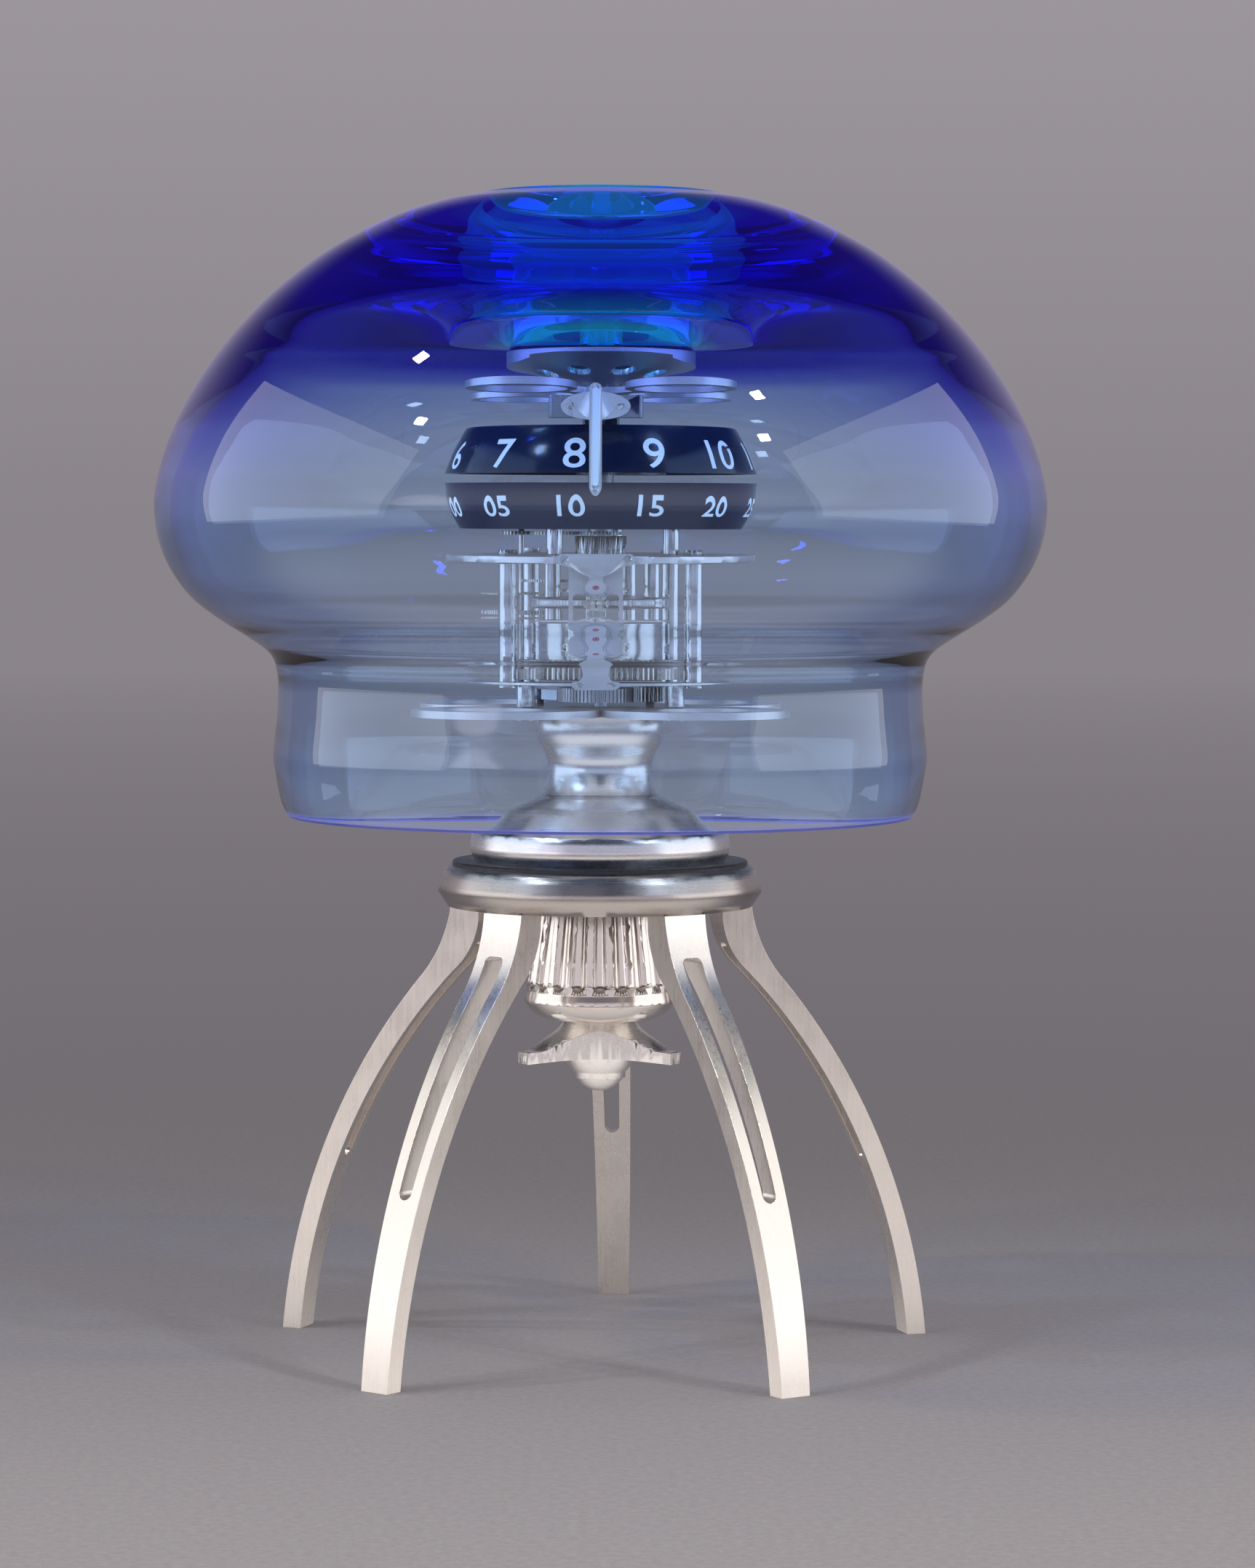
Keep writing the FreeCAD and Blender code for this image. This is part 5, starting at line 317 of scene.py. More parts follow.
def plain(name, color, roughness, emission=0.0, transmission=0.0):
    """A simple finish with a little variation of tone and roughness, and a painted glow if emission is given."""
    material = bpy.data.materials.new(name)
    material.use_nodes = True
    tree = material.node_tree
    shader = tree.nodes["Principled BSDF"]
    shader.inputs["Transmission Weight"].default_value = transmission
    place = add_node(tree, "ShaderNodeTexCoord")
    noise = add_node(tree, "ShaderNodeTexNoise")
    noise.inputs["Scale"].default_value = GRAIN_SCALE
    tree.links.new(place.outputs["Object"], noise.inputs["Vector"])
    dark = [max(channel - GRAIN, 0) for channel in color]
    light = [min(channel + GRAIN, 1) for channel in color]
    tone = tone_between(tree, noise.outputs["Fac"], dark, light)
    tree.links.new(tone, shader.inputs["Base Color"])
    rough = add_math(tree, "MULTIPLY_ADD", noise.outputs["Fac"], 2 * GRAIN_ROUGHNESS)
    rough.node.inputs[2].default_value = roughness - GRAIN_ROUGHNESS
    tree.links.new(rough, shader.inputs["Roughness"])
    # Painted glow: the emission brightens the finish beyond the light that falls on it.
    if emission > 0:
        shader.inputs["Emission Color"].default_value = (*color, 1)
        shader.inputs["Emission Strength"].default_value = emission
    return material


luminous = plain("luminous_paint", (0.66, 0.80, 0.92), 0.55, emission=0.35)
ruby = plain("ruby", (0.72, 0.16, 0.26), 0.08, transmission=0.4)
print("Made:", luminous.name, "and", ruby.name)

# %% [markdown]
# The bell is thick blown glass. The glass itself is pale steel blue, which shows most at the edges, where
# the eye looks along the wall. That is absorption inside the glass, so it belongs in the volume. The top was
# dipped in cobalt glass that fades out over the shoulder, so the surface colour changes with height, and
# leans to cobalt over the shoulder where the eye grazes the wall. Inside the well the cobalt is thinner and reads
# as a clear mid blue. A faint glow in the well, on the edges and along the rim stands for light that bounces
# on inside the glass. Light from lamps may pass straight through for shadows, so that the movement is lit.

# %% Blue glass
GLASS_STOPS = [
    (0.274, (0.90, 0.96, 1.0)), (0.288, (0.82, 0.91, 1.0)), (0.2945, (0.22, 0.26, 1.0)),
    (0.2995, (0.04, 0.03, 1.0)), (0.304, (0.03, 0.12, 1.0)), (0.309, (0.06, 0.28, 1.0)),
    (0.317, (0.55, 0.74, 1.0)), (0.3246, (0.90, 0.96, 1.0)),
]
GLASS_IOR = 1.5
VOLUME_TINT = (0.22, 0.56, 0.975)
VOLUME_DENSITY = 68.0
SHADOW_TINT = (0.92, 0.955, 0.99)
WELL_TINT = (0.72, 0.90, 1.0)
WELL_RADII = (0.034, 0.028)
WELL_FLOOR = (0.289, 0.294)
RIM_HEIGHTS = (0.1535, 0.151)
COBALT_HEIGHTS = (0.222, 0.264)
COBALT_POWER = 1.7
STEEL_POWER = 3.0
EDGE_COBALT = (0.05, 0.03, 1.0)
EDGE_STEEL = (0.42, 0.48, 0.95)
EDGE_GLOW = (0.012, 0.005, 0.09)
RIM_GLOW = (0.03, 0.035, 0.16)
WELL_GLOW = (0.0, 0.30, 0.16)


def blue_glass():
    material = bpy.data.materials.new("blue_glass")
    material.use_nodes = True
    tree = material.node_tree
    shader = tree.nodes["Principled BSDF"]
    shader.inputs["Transmission Weight"].default_value = 1.0
    shader.inputs["IOR"].default_value = GLASS_IOR
    shader.inputs["Roughness"].default_value = 0.0
    place = add_node(tree, "ShaderNodeTexCoord")
    split = add_node(tree, "ShaderNodeSeparateXYZ")
    tree.links.new(place.outputs["Object"], split.inputs[0])
    height = split.outputs["Z"]
    ramp = add_node(tree, "ShaderNodeValToRGB")
    ramp.color_ramp.interpolation = "EASE"
    low = GLASS_STOPS[0][0]
    high = GLASS_STOPS[-1][0]
    stops = [((level - low) / (high - low), color) for level, color in GLASS_STOPS]
    ramp.color_ramp.elements[0].position = stops[0][0]
    ramp.color_ramp.elements[0].color = (*stops[0][1], 1)
    ramp.color_ramp.elements[1].position = stops[-1][0]
    ramp.color_ramp.elements[1].color = (*stops[-1][1], 1)
    for position, color in stops[1:-1]:
        ramp.color_ramp.elements.new(position).color = (*color, 1)
    tree.links.new(fade_between(tree, height, low, high, "LINEAR"), ramp.inputs["Fac"])
    in_well = fade_between(tree, axis_distance(tree, split), *WELL_RADII, "LINEAR")
    tinted = tone_between(tree, in_well, ramp.outputs["Color"], WELL_TINT)
    weight = add_node(tree, "ShaderNodeLayerWeight")
    weight.inputs["Blend"].default_value = 0.5
    facing = weight.outputs["Facing"]
    high_up = fade_between(tree, height, *COBALT_HEIGHTS)
    edge = add_math(tree, "MULTIPLY", add_math(tree, "POWER", facing, COBALT_POWER), high_up)
    steel = tone_between(tree, add_math(tree, "POWER", facing, STEEL_POWER), tinted, EDGE_STEEL)
    tree.links.new(tone_between(tree, edge, steel, EDGE_COBALT), shader.inputs["Base Color"])
    glow = tone_between(tree, edge, (0, 0, 0), EDGE_GLOW)
    rim_glow = tone_between(tree, fade_between(tree, height, *RIM_HEIGHTS), glow, RIM_GLOW)
    open_well = add_math(tree, "MULTIPLY", in_well, fade_between(tree, height, *WELL_FLOOR))
    well_glow = tone_between(tree, open_well, rim_glow, WELL_GLOW)
    tree.links.new(well_glow, shader.inputs["Emission Color"])
    shader.inputs["Emission Strength"].default_value = 1.0
    volume = add_node(tree, "ShaderNodeVolumeAbsorption")
    volume.inputs["Color"].default_value = (*VOLUME_TINT, 1)
    volume.inputs["Density"].default_value = VOLUME_DENSITY
    out = tree.nodes["Material Output"]
    tree.links.new(volume.outputs[0], out.inputs["Volume"])
    clear = add_node(tree, "ShaderNodeBsdfTransparent")
    clear.inputs["Color"].default_value = (*SHADOW_TINT, 1)
    rays = add_node(tree, "ShaderNodeLightPath")
    passing = add_node(tree, "ShaderNodeMixShader")
    tree.links.new(rays.outputs["Is Shadow Ray"], passing.inputs[0])
    tree.links.new(shader.outputs[0], passing.inputs[1])
    tree.links.new(clear.outputs[0], passing.inputs[2])
    tree.links.new(passing.outputs[0], out.inputs["Surface"])
    return material


glass = blue_glass()
print("Colour stops by height in the glass:", len(GLASS_STOPS))

# %% [markdown]
# A turned piece is drawn as half a section and spun round the axis. By hand that starts from one vertex,
# which is extruded from corner to corner. Curved runs need a few points more, and a Catmull-Rom curve
# through the corners gives them. Many steps in the spin make the silhouette smooth.

# %% Turned pieces
WELD_DISTANCE = 0.000005


def smooth_run(points, parts):
    """More points on a smooth line through the given ones."""
    result = []
    count = len(points)
    for index in range(count - 1):
        before = Vector(points[max(index - 1, 0)])
        start = Vector(points[index])
        end = Vector(points[index + 1])
        after = Vector(points[min(index + 2, count - 1)])
        for part in range(parts):
            t = part / parts
            result.append(tuple(0.5 * (
                2 * start + (end - before) * t + (2 * before - 5 * start + 4 * end - after) * t ** 2
                + (3 * start - before - 3 * end + after) * t ** 3
            )))
    result.append(tuple(points[-1]))
    return result


def arc_run(start, end, radius, side, parts):
    """Points on a short arc from start to end that bulges to the left or right of the way."""
    first = Vector(start)
    last = Vector(end)
    chord = last - first
    left = Vector((-chord.y, chord.x)).normalized()
    reach = math.sqrt(max(radius ** 2 - (chord.length / 2) ** 2, 0))
    centre = (first + last) / 2 + left * (-reach if side == "left" else reach)
    angle_start = math.atan2(first.y - centre.y, first.x - centre.x)
    angle_end = math.atan2(last.y - centre.y, last.x - centre.x)
    sweep = (angle_end - angle_start + math.pi) % (2 * math.pi) - math.pi
    return [
        (centre.x + radius * math.cos(angle_start + sweep * part / parts),
         centre.y + radius * math.sin(angle_start + sweep * part / parts))
        for part in range(parts + 1)
    ]


def outline_from_vertex(name, corners):
    """Extrudes a vertex from corner to corner, in metres, and back to the first one."""
    deselect_all()
    bpy.ops.mesh.primitive_plane_add(size=0.001, location=(0, 0, 0))
    piece = bpy.context.object
    piece.name = name
    piece.data.name = name
    bpy.ops.object.mode_set(mode="EDIT")
    bpy.ops.mesh.merge(type="CENTER")
    bpy.ops.transform.translate(value=corners[0])
    here = corners[0]
    for there in corners[1:] + corners[:1]:
        bpy.ops.mesh.extrude_vertices_move(TRANSFORM_OT_translate={"value": there - here})
        here = there
    bpy.ops.mesh.select_all(action="SELECT")
    return piece


def spin_piece(name, section, steps, smooth):
    """Spins a closed section of (radius, height) in mm round the axis."""
    piece = outline_from_vertex(name, [Vector((radius, 0, height)) * MM for radius, height in section])
    bpy.ops.mesh.spin(steps=steps, angle=2 * math.pi, center=(0, 0, 0), axis=(0, 0, 1))
    bpy.ops.mesh.select_all(action="SELECT")
    bpy.ops.mesh.remove_doubles(threshold=WELD_DISTANCE)
    bpy.ops.mesh.normals_make_consistent(inside=False)
    bpy.ops.object.mode_set(mode="OBJECT")
    shade_smooth(piece, smooth)
    print(name, "faces:", len(piece.data.polygons))
    return piece


print("Points on a curve through 3 corners:", len(smooth_run([(0, 0), (1, 1), (2, 0)], 4)))

# %% [markdown]
# The bell is one closed section, in millimetres: up the outside to the lip, down into the well, under the
# well's floor and down the inside to the rim. It stands for two nodes of the model, the bell and its crown,
# because blown glass has no seam between them.

# %% The glass bell
BELL_STEPS = 160
BELL_SMOOTH_ANGLE = 40
CURVE_PARTS = 5
BELL_OUTER = [
    (87.9, 150.8), (89.8, 155.3), (91.4, 163.5), (91.9, 167.6), (91.5, 172.8), (90.8, 178.9), (90.5, 187.2),
    (91.0, 192.1), (92.1, 195.25), (94.5, 197.9), (99.4, 201.2), (108.1, 206.7), (115.2, 212.5), (120.9, 220.6),
    (124.0, 228.75), (125.0, 237.0), (124.35, 243.9), (121.9, 253.0), (118.2, 262.1), (113.2, 271.2),
    (107.0, 280.3), (99.4, 289.4), (90.0, 298.6), (78.0, 307.8), (67.4, 313.9), (57.0, 318.8), (47.1, 322.1),
    (40.5, 323.5), (34.5, 324.6),
]
BELL_INNER = [
    (84.7, 150.8), (86.4, 155.3), (87.4, 163.5), (87.8, 167.6), (87.4, 172.8), (86.8, 178.9), (86.45, 186.8),
    (86.9, 191.4), (87.62, 194.9), (90.0, 197.9), (96.61, 203.2), (105.29, 208.6), (112.61, 215.25),
    (117.26, 222.6), (119.82, 229.8), (120.59, 237.0), (119.79, 244.0), (117.93, 250.5), (115.27, 257.0),
    (112.86, 261.55), (110.12, 265.8), (106.98, 270.0), (103.43, 274.3), (99.56, 278.6), (90.5, 287.5),
    (81.1, 294.2), (70.2, 298.65), (59.3, 299.6), (50.2, 297.3),
]
LIP = arc_run((34.5, 324.6), (28.5, 324.6), 6.2, "right", 8)[1:]
WELL = [(26.5, 297.3)] + arc_run((26.5, 297.3), (21.7, 292.5), 4.8, "left", 6)[1:]
SEAT = [(4.0, 292.5), (4.0, 287.7), (26.0, 287.7), (26.0, 290.3)]
BOSS = smooth_run([(26.0, 290.3), (34.2, 291.2), (42.4, 291.8), (43.4, 293.2), (50.2, 297.3)], 4)[1:]
RIM = arc_run((84.7, 150.8), (87.9, 150.8), 1.7, "left", 8)[1:-1]
outside = smooth_run(BELL_OUTER, CURVE_PARTS) + LIP
inside = BOSS[:-1] + smooth_run(BELL_INNER, CURVE_PARTS)[::-1] + RIM
bell = spin_piece("bell_glass", outside + WELL + SEAT + inside, BELL_STEPS, BELL_SMOOTH_ANGLE)
finish_piece(bell, "dome", glass)
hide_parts("glass_dome", "glass_crown")

# %% [markdown]
# Each leg is a curved bar that narrows to its foot. By hand it starts as a side outline that is extruded to
# the width of the foot and tapered wider towards the top. A second outline, extruded across, cuts the long
# slot. A small bevel then catches the light along every edge. One leg is modelled and copied round the axis.

# %% Legs
LEG_HEIGHT = 125.4
LEG_HALF_TOP = 6.75
LEG_HALF_FOOT = 4.6
LEG_TAPER = LEG_HALF_TOP / LEG_HALF_FOOT - 1
LEG_EDGE = 0.25
LEG_EDGE_ANGLE = 30
LEG_SMOOTH_ANGLE = 40
LEG_ANGLES = {
    "leg_right": 15.2, "leg_rear": 87.2, "leg_left": 159.2, "leg_front_left": 231.2, "leg_front_right": 303.2,
}
LEG_SIDE = (
    arc_run((42.7, LEG_HEIGHT), (53.0, 103.0), 40.0, "right", 12)
    + arc_run((53.0, 103.0), (96.2, 0), 188.0, "left", 28)[1:]
    + arc_run((90.6, 0), (42.0, 106.0), 176.0, "right", 28)
    + arc_run((42.0, 106.0), (34.2, 121.0), 23.0, "left", 12)[1:]
    + [(34.2, LEG_HEIGHT)]
)
SLOT_HALF_TOP = 3.15
SLOT_HALF_FOOT = 2.1
SLOT_CORNER = 1.6
SLOT_TOP = 113.8
SLOT_FOOT = 50.7
SLOT_LOW = SLOT_FOOT + SLOT_HALF_FOOT
SLOT_HIGH = SLOT_TOP - SLOT_CORNER
SLOT_SIDE = SLOT_HALF_TOP - SLOT_CORNER
SLOT_OUTLINE = (
    arc_run((-SLOT_HALF_FOOT, SLOT_LOW), (0, SLOT_FOOT), SLOT_HALF_FOOT, "right", 6)
    + arc_run((0, SLOT_FOOT), (SLOT_HALF_FOOT, SLOT_LOW), SLOT_HALF_FOOT, "right", 6)[1:]
    + arc_run((SLOT_HALF_TOP, SLOT_HIGH), (SLOT_SIDE, SLOT_TOP), SLOT_CORNER, "right", 5)
    + arc_run((-SLOT_SIDE, SLOT_TOP), (-SLOT_HALF_TOP, SLOT_HIGH), SLOT_CORNER, "right", 5)
)
CUT_START = 20
CUT_LENGTH = 90


def extruded_outline(name, corners, way):
    """Fills an outline in metres and extrudes it along a way."""
    piece = outline_from_vertex(name, corners)
    bpy.ops.mesh.remove_doubles(threshold=WELD_DISTANCE)
    bpy.ops.mesh.select_all(action="SELECT")
    bpy.ops.mesh.edge_face_add()
    bpy.ops.mesh.select_all(action="SELECT")
    bpy.ops.mesh.extrude_region_move(TRANSFORM_OT_translate={"value": way})
    bpy.ops.mesh.select_all(action="SELECT")
    bpy.ops.mesh.normals_make_consistent(inside=False)
    bpy.ops.object.mode_set(mode="OBJECT")
    return piece


def model_leg():
    side = [Vector((radius, -LEG_HALF_FOOT, height)) * MM for radius, height in LEG_SIDE]
    leg = extruded_outline("leg", side, Vector((0, 2 * LEG_HALF_FOOT, 0)) * MM)
    apply_modifier(
        leg, "SIMPLE_DEFORM", deform_method="TAPER", deform_axis="Z", factor=LEG_TAPER, lock_x=True,
    )
    across = [Vector((CUT_START, width, height)) * MM for width, height in SLOT_OUTLINE]
    cutter = extruded_outline("slot_cutter", across, Vector((CUT_LENGTH, 0, 0)) * MM)
    apply_modifier(leg, "BOOLEAN", operation="DIFFERENCE", object=cutter, solver="EXACT")
    bpy.data.objects.remove(cutter)
    apply_modifier(
        leg, "BEVEL", width=LEG_EDGE * MM, segments=2, limit_method="ANGLE",
        angle_limit=math.radians(LEG_EDGE_ANGLE),
    )
    shade_smooth(leg, LEG_SMOOTH_ANGLE)
    apply_modifier(leg, "WEIGHTED_NORMAL", keep_sharp=True)
    return leg


pattern_leg = model_leg()
for name, angle in LEG_ANGLES.items():
    leg = bpy.data.objects.new(f"{name}_finished", pattern_leg.data.copy())
    scene.collection.objects.link(leg)
    leg.data.transform(Matrix.Rotation(math.radians(angle), 4, "Z"))
    finish_piece(leg, "stand", leg_metal)
    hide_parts(name)
print("Leg faces:", len(pattern_leg.data.polygons))
bpy.data.objects.remove(pattern_leg)

# %% [markdown]
# The loaded nodes are loose triangles with flat shading, which shows as facets on anything polished. Their
# meshes stay as they are. For each node with curved or bevelled faces, a copy is merged and shaded smooth
# up to an angle, and the copy stands for the node.

# %% Smooth copies of the metal nodes
NODE_WELD = 0.000002
SMOOTH_ANGLE = 30
FINISHES = [
    (ring_nickel_painted_shade, "satin_nickel", "base_ring"),
    (turned_satin, "satin_nickel", "flared_foot stem tie_tube"),
    (black_satin, "black_anodised", "black_spacer"),
    (turned_polish, "polished_nickel", "fluted_sleeve sleeve_lip"),
    (knob_nickel_painted_light, "polished_nickel", "winding_knob knob_cap"),
    (plate_satin, "satin_nickel", "crown_plate lower_plate upper_plate train_bridge motion_bridge "
     "escapement_platform escape_hanger escape_cock balance_cock crown_bridge dome_cup "
     "reduction_arm dome_nut minute_hub hour_hub winding_wheel barrel_cover"),
    (pillar_polish, "polished_nickel", "lower_pillars movement_pillars bridge_pillars centre_post frame_screws "
     "small_screws"),
    (wheel_metal, "gilt_brass", "barrel_drum centre_wheel third_wheel contrate_wheel escape_wheel "
     "reduction_wheel idler_wheel setting_wheel"),
    (bracket_steel, "satin_nickel", "pointer_bracket"),
    (balance_metal, "gilt_brass", "balance_wheel"),
    (spring_metal, "spring_steel", "mainspring hairspring click winding_shaft barrel_arbor pallet_fork"),
    (navy_gloss, "navy_lacquer", "minute_ring hour_ring"),
    (rubber, "black_rubber", "dome_gasket"),
    (ruby, "ruby", "jewels"),
    (pointer_satin, "pointer_steel", "pointer"),
]
body_of_node = {
    node: body for body, nodes in frame["record"]["behaviour"]["bodies"].items() for node in nodes
}


def smooth_copy(node_name, material):
    """A merged, smooth copy of a node that stands for it."""
    node = frame["nodes"][node_name]
    mesh = node.data.copy()
    piece = bpy.data.objects.new(f"{node_name}_finished", mesh)
    scene.collection.objects.link(piece)
    make_active(piece)
    bpy.ops.object.mode_set(mode="EDIT")
    bpy.ops.mesh.select_all(action="SELECT")
    bpy.ops.mesh.remove_doubles(threshold=NODE_WELD)
    bpy.ops.object.mode_set(mode="OBJECT")
    shade_smooth(piece, SMOOTH_ANGLE)
    apply_modifier(piece, "WEIGHTED_NORMAL", keep_sharp=True)
    finish_piece(piece, body_of_node[node_name], material)
    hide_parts(node_name)
    return piece


finished = {}
for material, slot, names in FINISHES:
    for name in names.split():
        finished[name] = smooth_copy(name, material)
for name in ("glass_dome", "glass_crown"):
    frame["nodes"][name].data.materials.clear()
    frame["nodes"][name].data.materials.append(glass)
print("Finished copies:", len(finished))

# %% [markdown]
# The numbers are printed round the rings, one every 30 degrees. Each is made as text at its real height,
# turned into a mesh and cut into narrow strips, so that it can bend. Then every vertex is moved onto the
# ring: its place across becomes an angle, and the ring's own section gives the radius at its height.

# %% Numbers on the rings


def ring_radius(height, base, top, low_radius, high_radius, curve):
    """The ring's outer radius at a height in mm, on the arc between its edges."""
    low = Vector((low_radius, base))
    high = Vector((high_radius, top))
    chord = high - low
    inward = Vector((-chord.y, chord.x)).normalized()
    centre = (low + high) / 2 + inward * math.sqrt(curve ** 2 - (chord.length / 2) ** 2)
    return centre.x + math.sqrt(curve ** 2 - (height - centre.y) ** 2)


STRIP_WIDTH = 0.8
PAINT_HEIGHT = 0.05
STROKE_GAIN = 0.1
TEXT_WELD = 0.001
NUMBER_SMOOTH_ANGLE = 40


def wrapped_number(name, text, size, stretch, angle, middle, ring):
    """A number as a thin skin on a ring, with its middle at an angle to the right of the front."""
    deselect_all()
    bpy.ops.object.text_add(location=(0, 0, 0))
    number = bpy.context.object
    number.data.body = text
    number.data.size = size
    number.data.offset = STROKE_GAIN
    number.data.align_x = "CENTER"
    number.data.align_y = "CENTER"
    bpy.ops.object.convert(target="MESH")
    number = bpy.context.object
    number.name = name
    number.data.name = name
    bpy.ops.object.mode_set(mode="EDIT")
    bpy.ops.mesh.select_all(action="SELECT")
    bpy.ops.mesh.remove_doubles(threshold=TEXT_WELD)
    for index in range(1 - int(size / STRIP_WIDTH), int(size / STRIP_WIDTH)):
        place = STRIP_WIDTH * index
        for normal in ((1, 0, 0), (0, 1, 0)):
            bpy.ops.mesh.select_all(action="SELECT")
            bpy.ops.mesh.bisect(plane_co=(place, place, 0), plane_no=normal)
    bpy.ops.object.mode_set(mode="OBJECT")
    low = min(vertex.co.y for vertex in number.data.vertices)
    high = max(vertex.co.y for vertex in number.data.vertices)
    for vertex in number.data.vertices:
        height = middle + vertex.co.y - (low + high) / 2
        radius = ring_radius(height, *ring) + PAINT_HEIGHT
        turn_angle = math.radians(angle) + vertex.co.x * stretch / radius
        across = math.sin(turn_angle) * radius
        forward = math.cos(turn_angle) * radius
        vertex.co = Vector((across, -forward, height)) * MM
    shade_smooth(number, NUMBER_SMOOTH_ANGLE)
    return number


MINUTE_RING = (231.2, 243.6, 39.6, 43.8, 42.0)
MINUTE_SIZE = 8.2
MINUTE_STRETCH = 1.2
MINUTE_MIDDLE = 238.3
HOUR_RING = (246.9, 261.5, 43.8, 37.9, 36.0)
HOUR_SIZE = 12.5
HOUR_STRETCH = 1.1
HOUR_MIDDLE = 253.2
STEP = 30
HOUR_START = -9.8 - STEP * 8
MINUTE_START = -12.2 - STEP * 2
hours = range(1, 13)
fives = range(12)
for hour in hours:
    angle = HOUR_START + STEP * hour
    number = wrapped_number(
        f"hour_{hour}", str(hour), HOUR_SIZE, HOUR_STRETCH, angle, HOUR_MIDDLE, HOUR_RING,
    )
    finish_piece(number, "hour", luminous)
for five in fives:
    text = f"{five * 5:02d}"
    angle = MINUTE_START + STEP * five
    number = wrapped_number(
        f"minute_{text}", text, MINUTE_SIZE, MINUTE_STRETCH, angle, MINUTE_MIDDLE, MINUTE_RING,
    )
    finish_piece(number, "minute", luminous)
print("Hour numbers:", len(hours), "minute numbers:", len(fives))

# %% [markdown]
# The pointer has a groove down its face, filled with the same pale paint. The fill is a flat bar with round
# ends, set a hair below the edges of the groove, and turned with the pointer by its small lean.

# %% Strip in the pointer
STRIP_HALF = 0.85
STRIP_LOW = 242.7
STRIP_HIGH = 273.5
STRIP_DEPTH = 0.3
STRIP_FRONT = 47.0
STRIP_END_SHARE = 0.98
STRIP_SMOOTH_ANGLE = 30
POINTER_LEAN = -1.8


def pointer_strip():
    """A flat bar with round ends, laid in the groove."""
    deselect_all()
    bpy.ops.mesh.primitive_plane_add(size=1, location=(0, 0, 0))
    strip = bpy.context.object
    strip.name = "pointer_strip"
    strip.data.name = "pointer_strip"
    bpy.ops.object.mode_set(mode="EDIT")
    bpy.ops.transform.resize(
        value=(2 * STRIP_HALF * MM, (STRIP_HIGH - STRIP_LOW) * MM, 1), center_override=(0, 0, 0),
    )
    bpy.ops.mesh.bevel(offset=STRIP_HALF * STRIP_END_SHARE * MM, segments=8, affect="VERTICES")
    bpy.ops.mesh.select_all(action="SELECT")
    bpy.ops.mesh.extrude_region_move(TRANSFORM_OT_translate={"value": (0, 0, STRIP_DEPTH * MM)})
    bpy.ops.mesh.select_all(action="SELECT")
    bpy.ops.mesh.normals_make_consistent(inside=False)
    bpy.ops.object.mode_set(mode="OBJECT")
    strip.data.transform(Matrix.Rotation(math.radians(90), 4, "X"))
    middle = Vector((0, (STRIP_DEPTH - STRIP_FRONT) * MM, (STRIP_LOW + STRIP_HIGH) / 2 * MM))
    strip.data.transform(Matrix.Translation(middle))
    strip.data.transform(Matrix.Rotation(math.radians(POINTER_LEAN), 4, "Z"))
    shade_smooth(strip, STRIP_SMOOTH_ANGLE)
    return finish_piece(strip, "stand", luminous)


strip = pointer_strip()
print("Strip faces:", len(strip.data.polygons))

# %% [markdown]
# The clock stands on a grey floor that curves up into a backdrop somewhat less than a metre behind it. The
# floor's colour holds painted light and shade: lighter in front and darker away from the camera, as far as
# that bend. The backdrop gets lighter towards the top of the picture. Far floor and world share their tone
# where they meet, so that no horizon line cuts through the glass. Mirrors see the floor in front of the clock
# lit, which keeps the rear leg and the knob pale.

# %% Floor
BEND_TONE = (0.176, 0.160, 0.178)
HORIZON_TONE = (0.255, 0.234, 0.256)
TOP_TONE = (0.335, 0.310, 0.335)
PAINTED_LIT_FRONT = (0.36, 0.335, 0.335)
PAINTED_SHADE_BACK = (0.195, 0.18, 0.185)
FLOOR_RADIUS = 30
FLOOR_CORNERS = 96
FLOOR_ROUGHNESS = 0.7
FLOOR_GLOSS = 0.25
PAINTED_FALLOFF_DEPTHS = (-0.4, 0.42)
GRIT_SCALE = 420.0
GRIT_DETAIL = 6.0
GRIT_ROUGHNESS = 0.7
GRIT_STRENGTH = 0.28
BEND_DISTANCES = (0.25, 0.95)
HORIZON_DISTANCES = (0.9, 6.0)
SHEEN_TONE = (1.0, 0.95, 0.9)
SHEEN_STRENGTH = 0.6
SHEEN_DEPTHS = (0.13, -0.08)


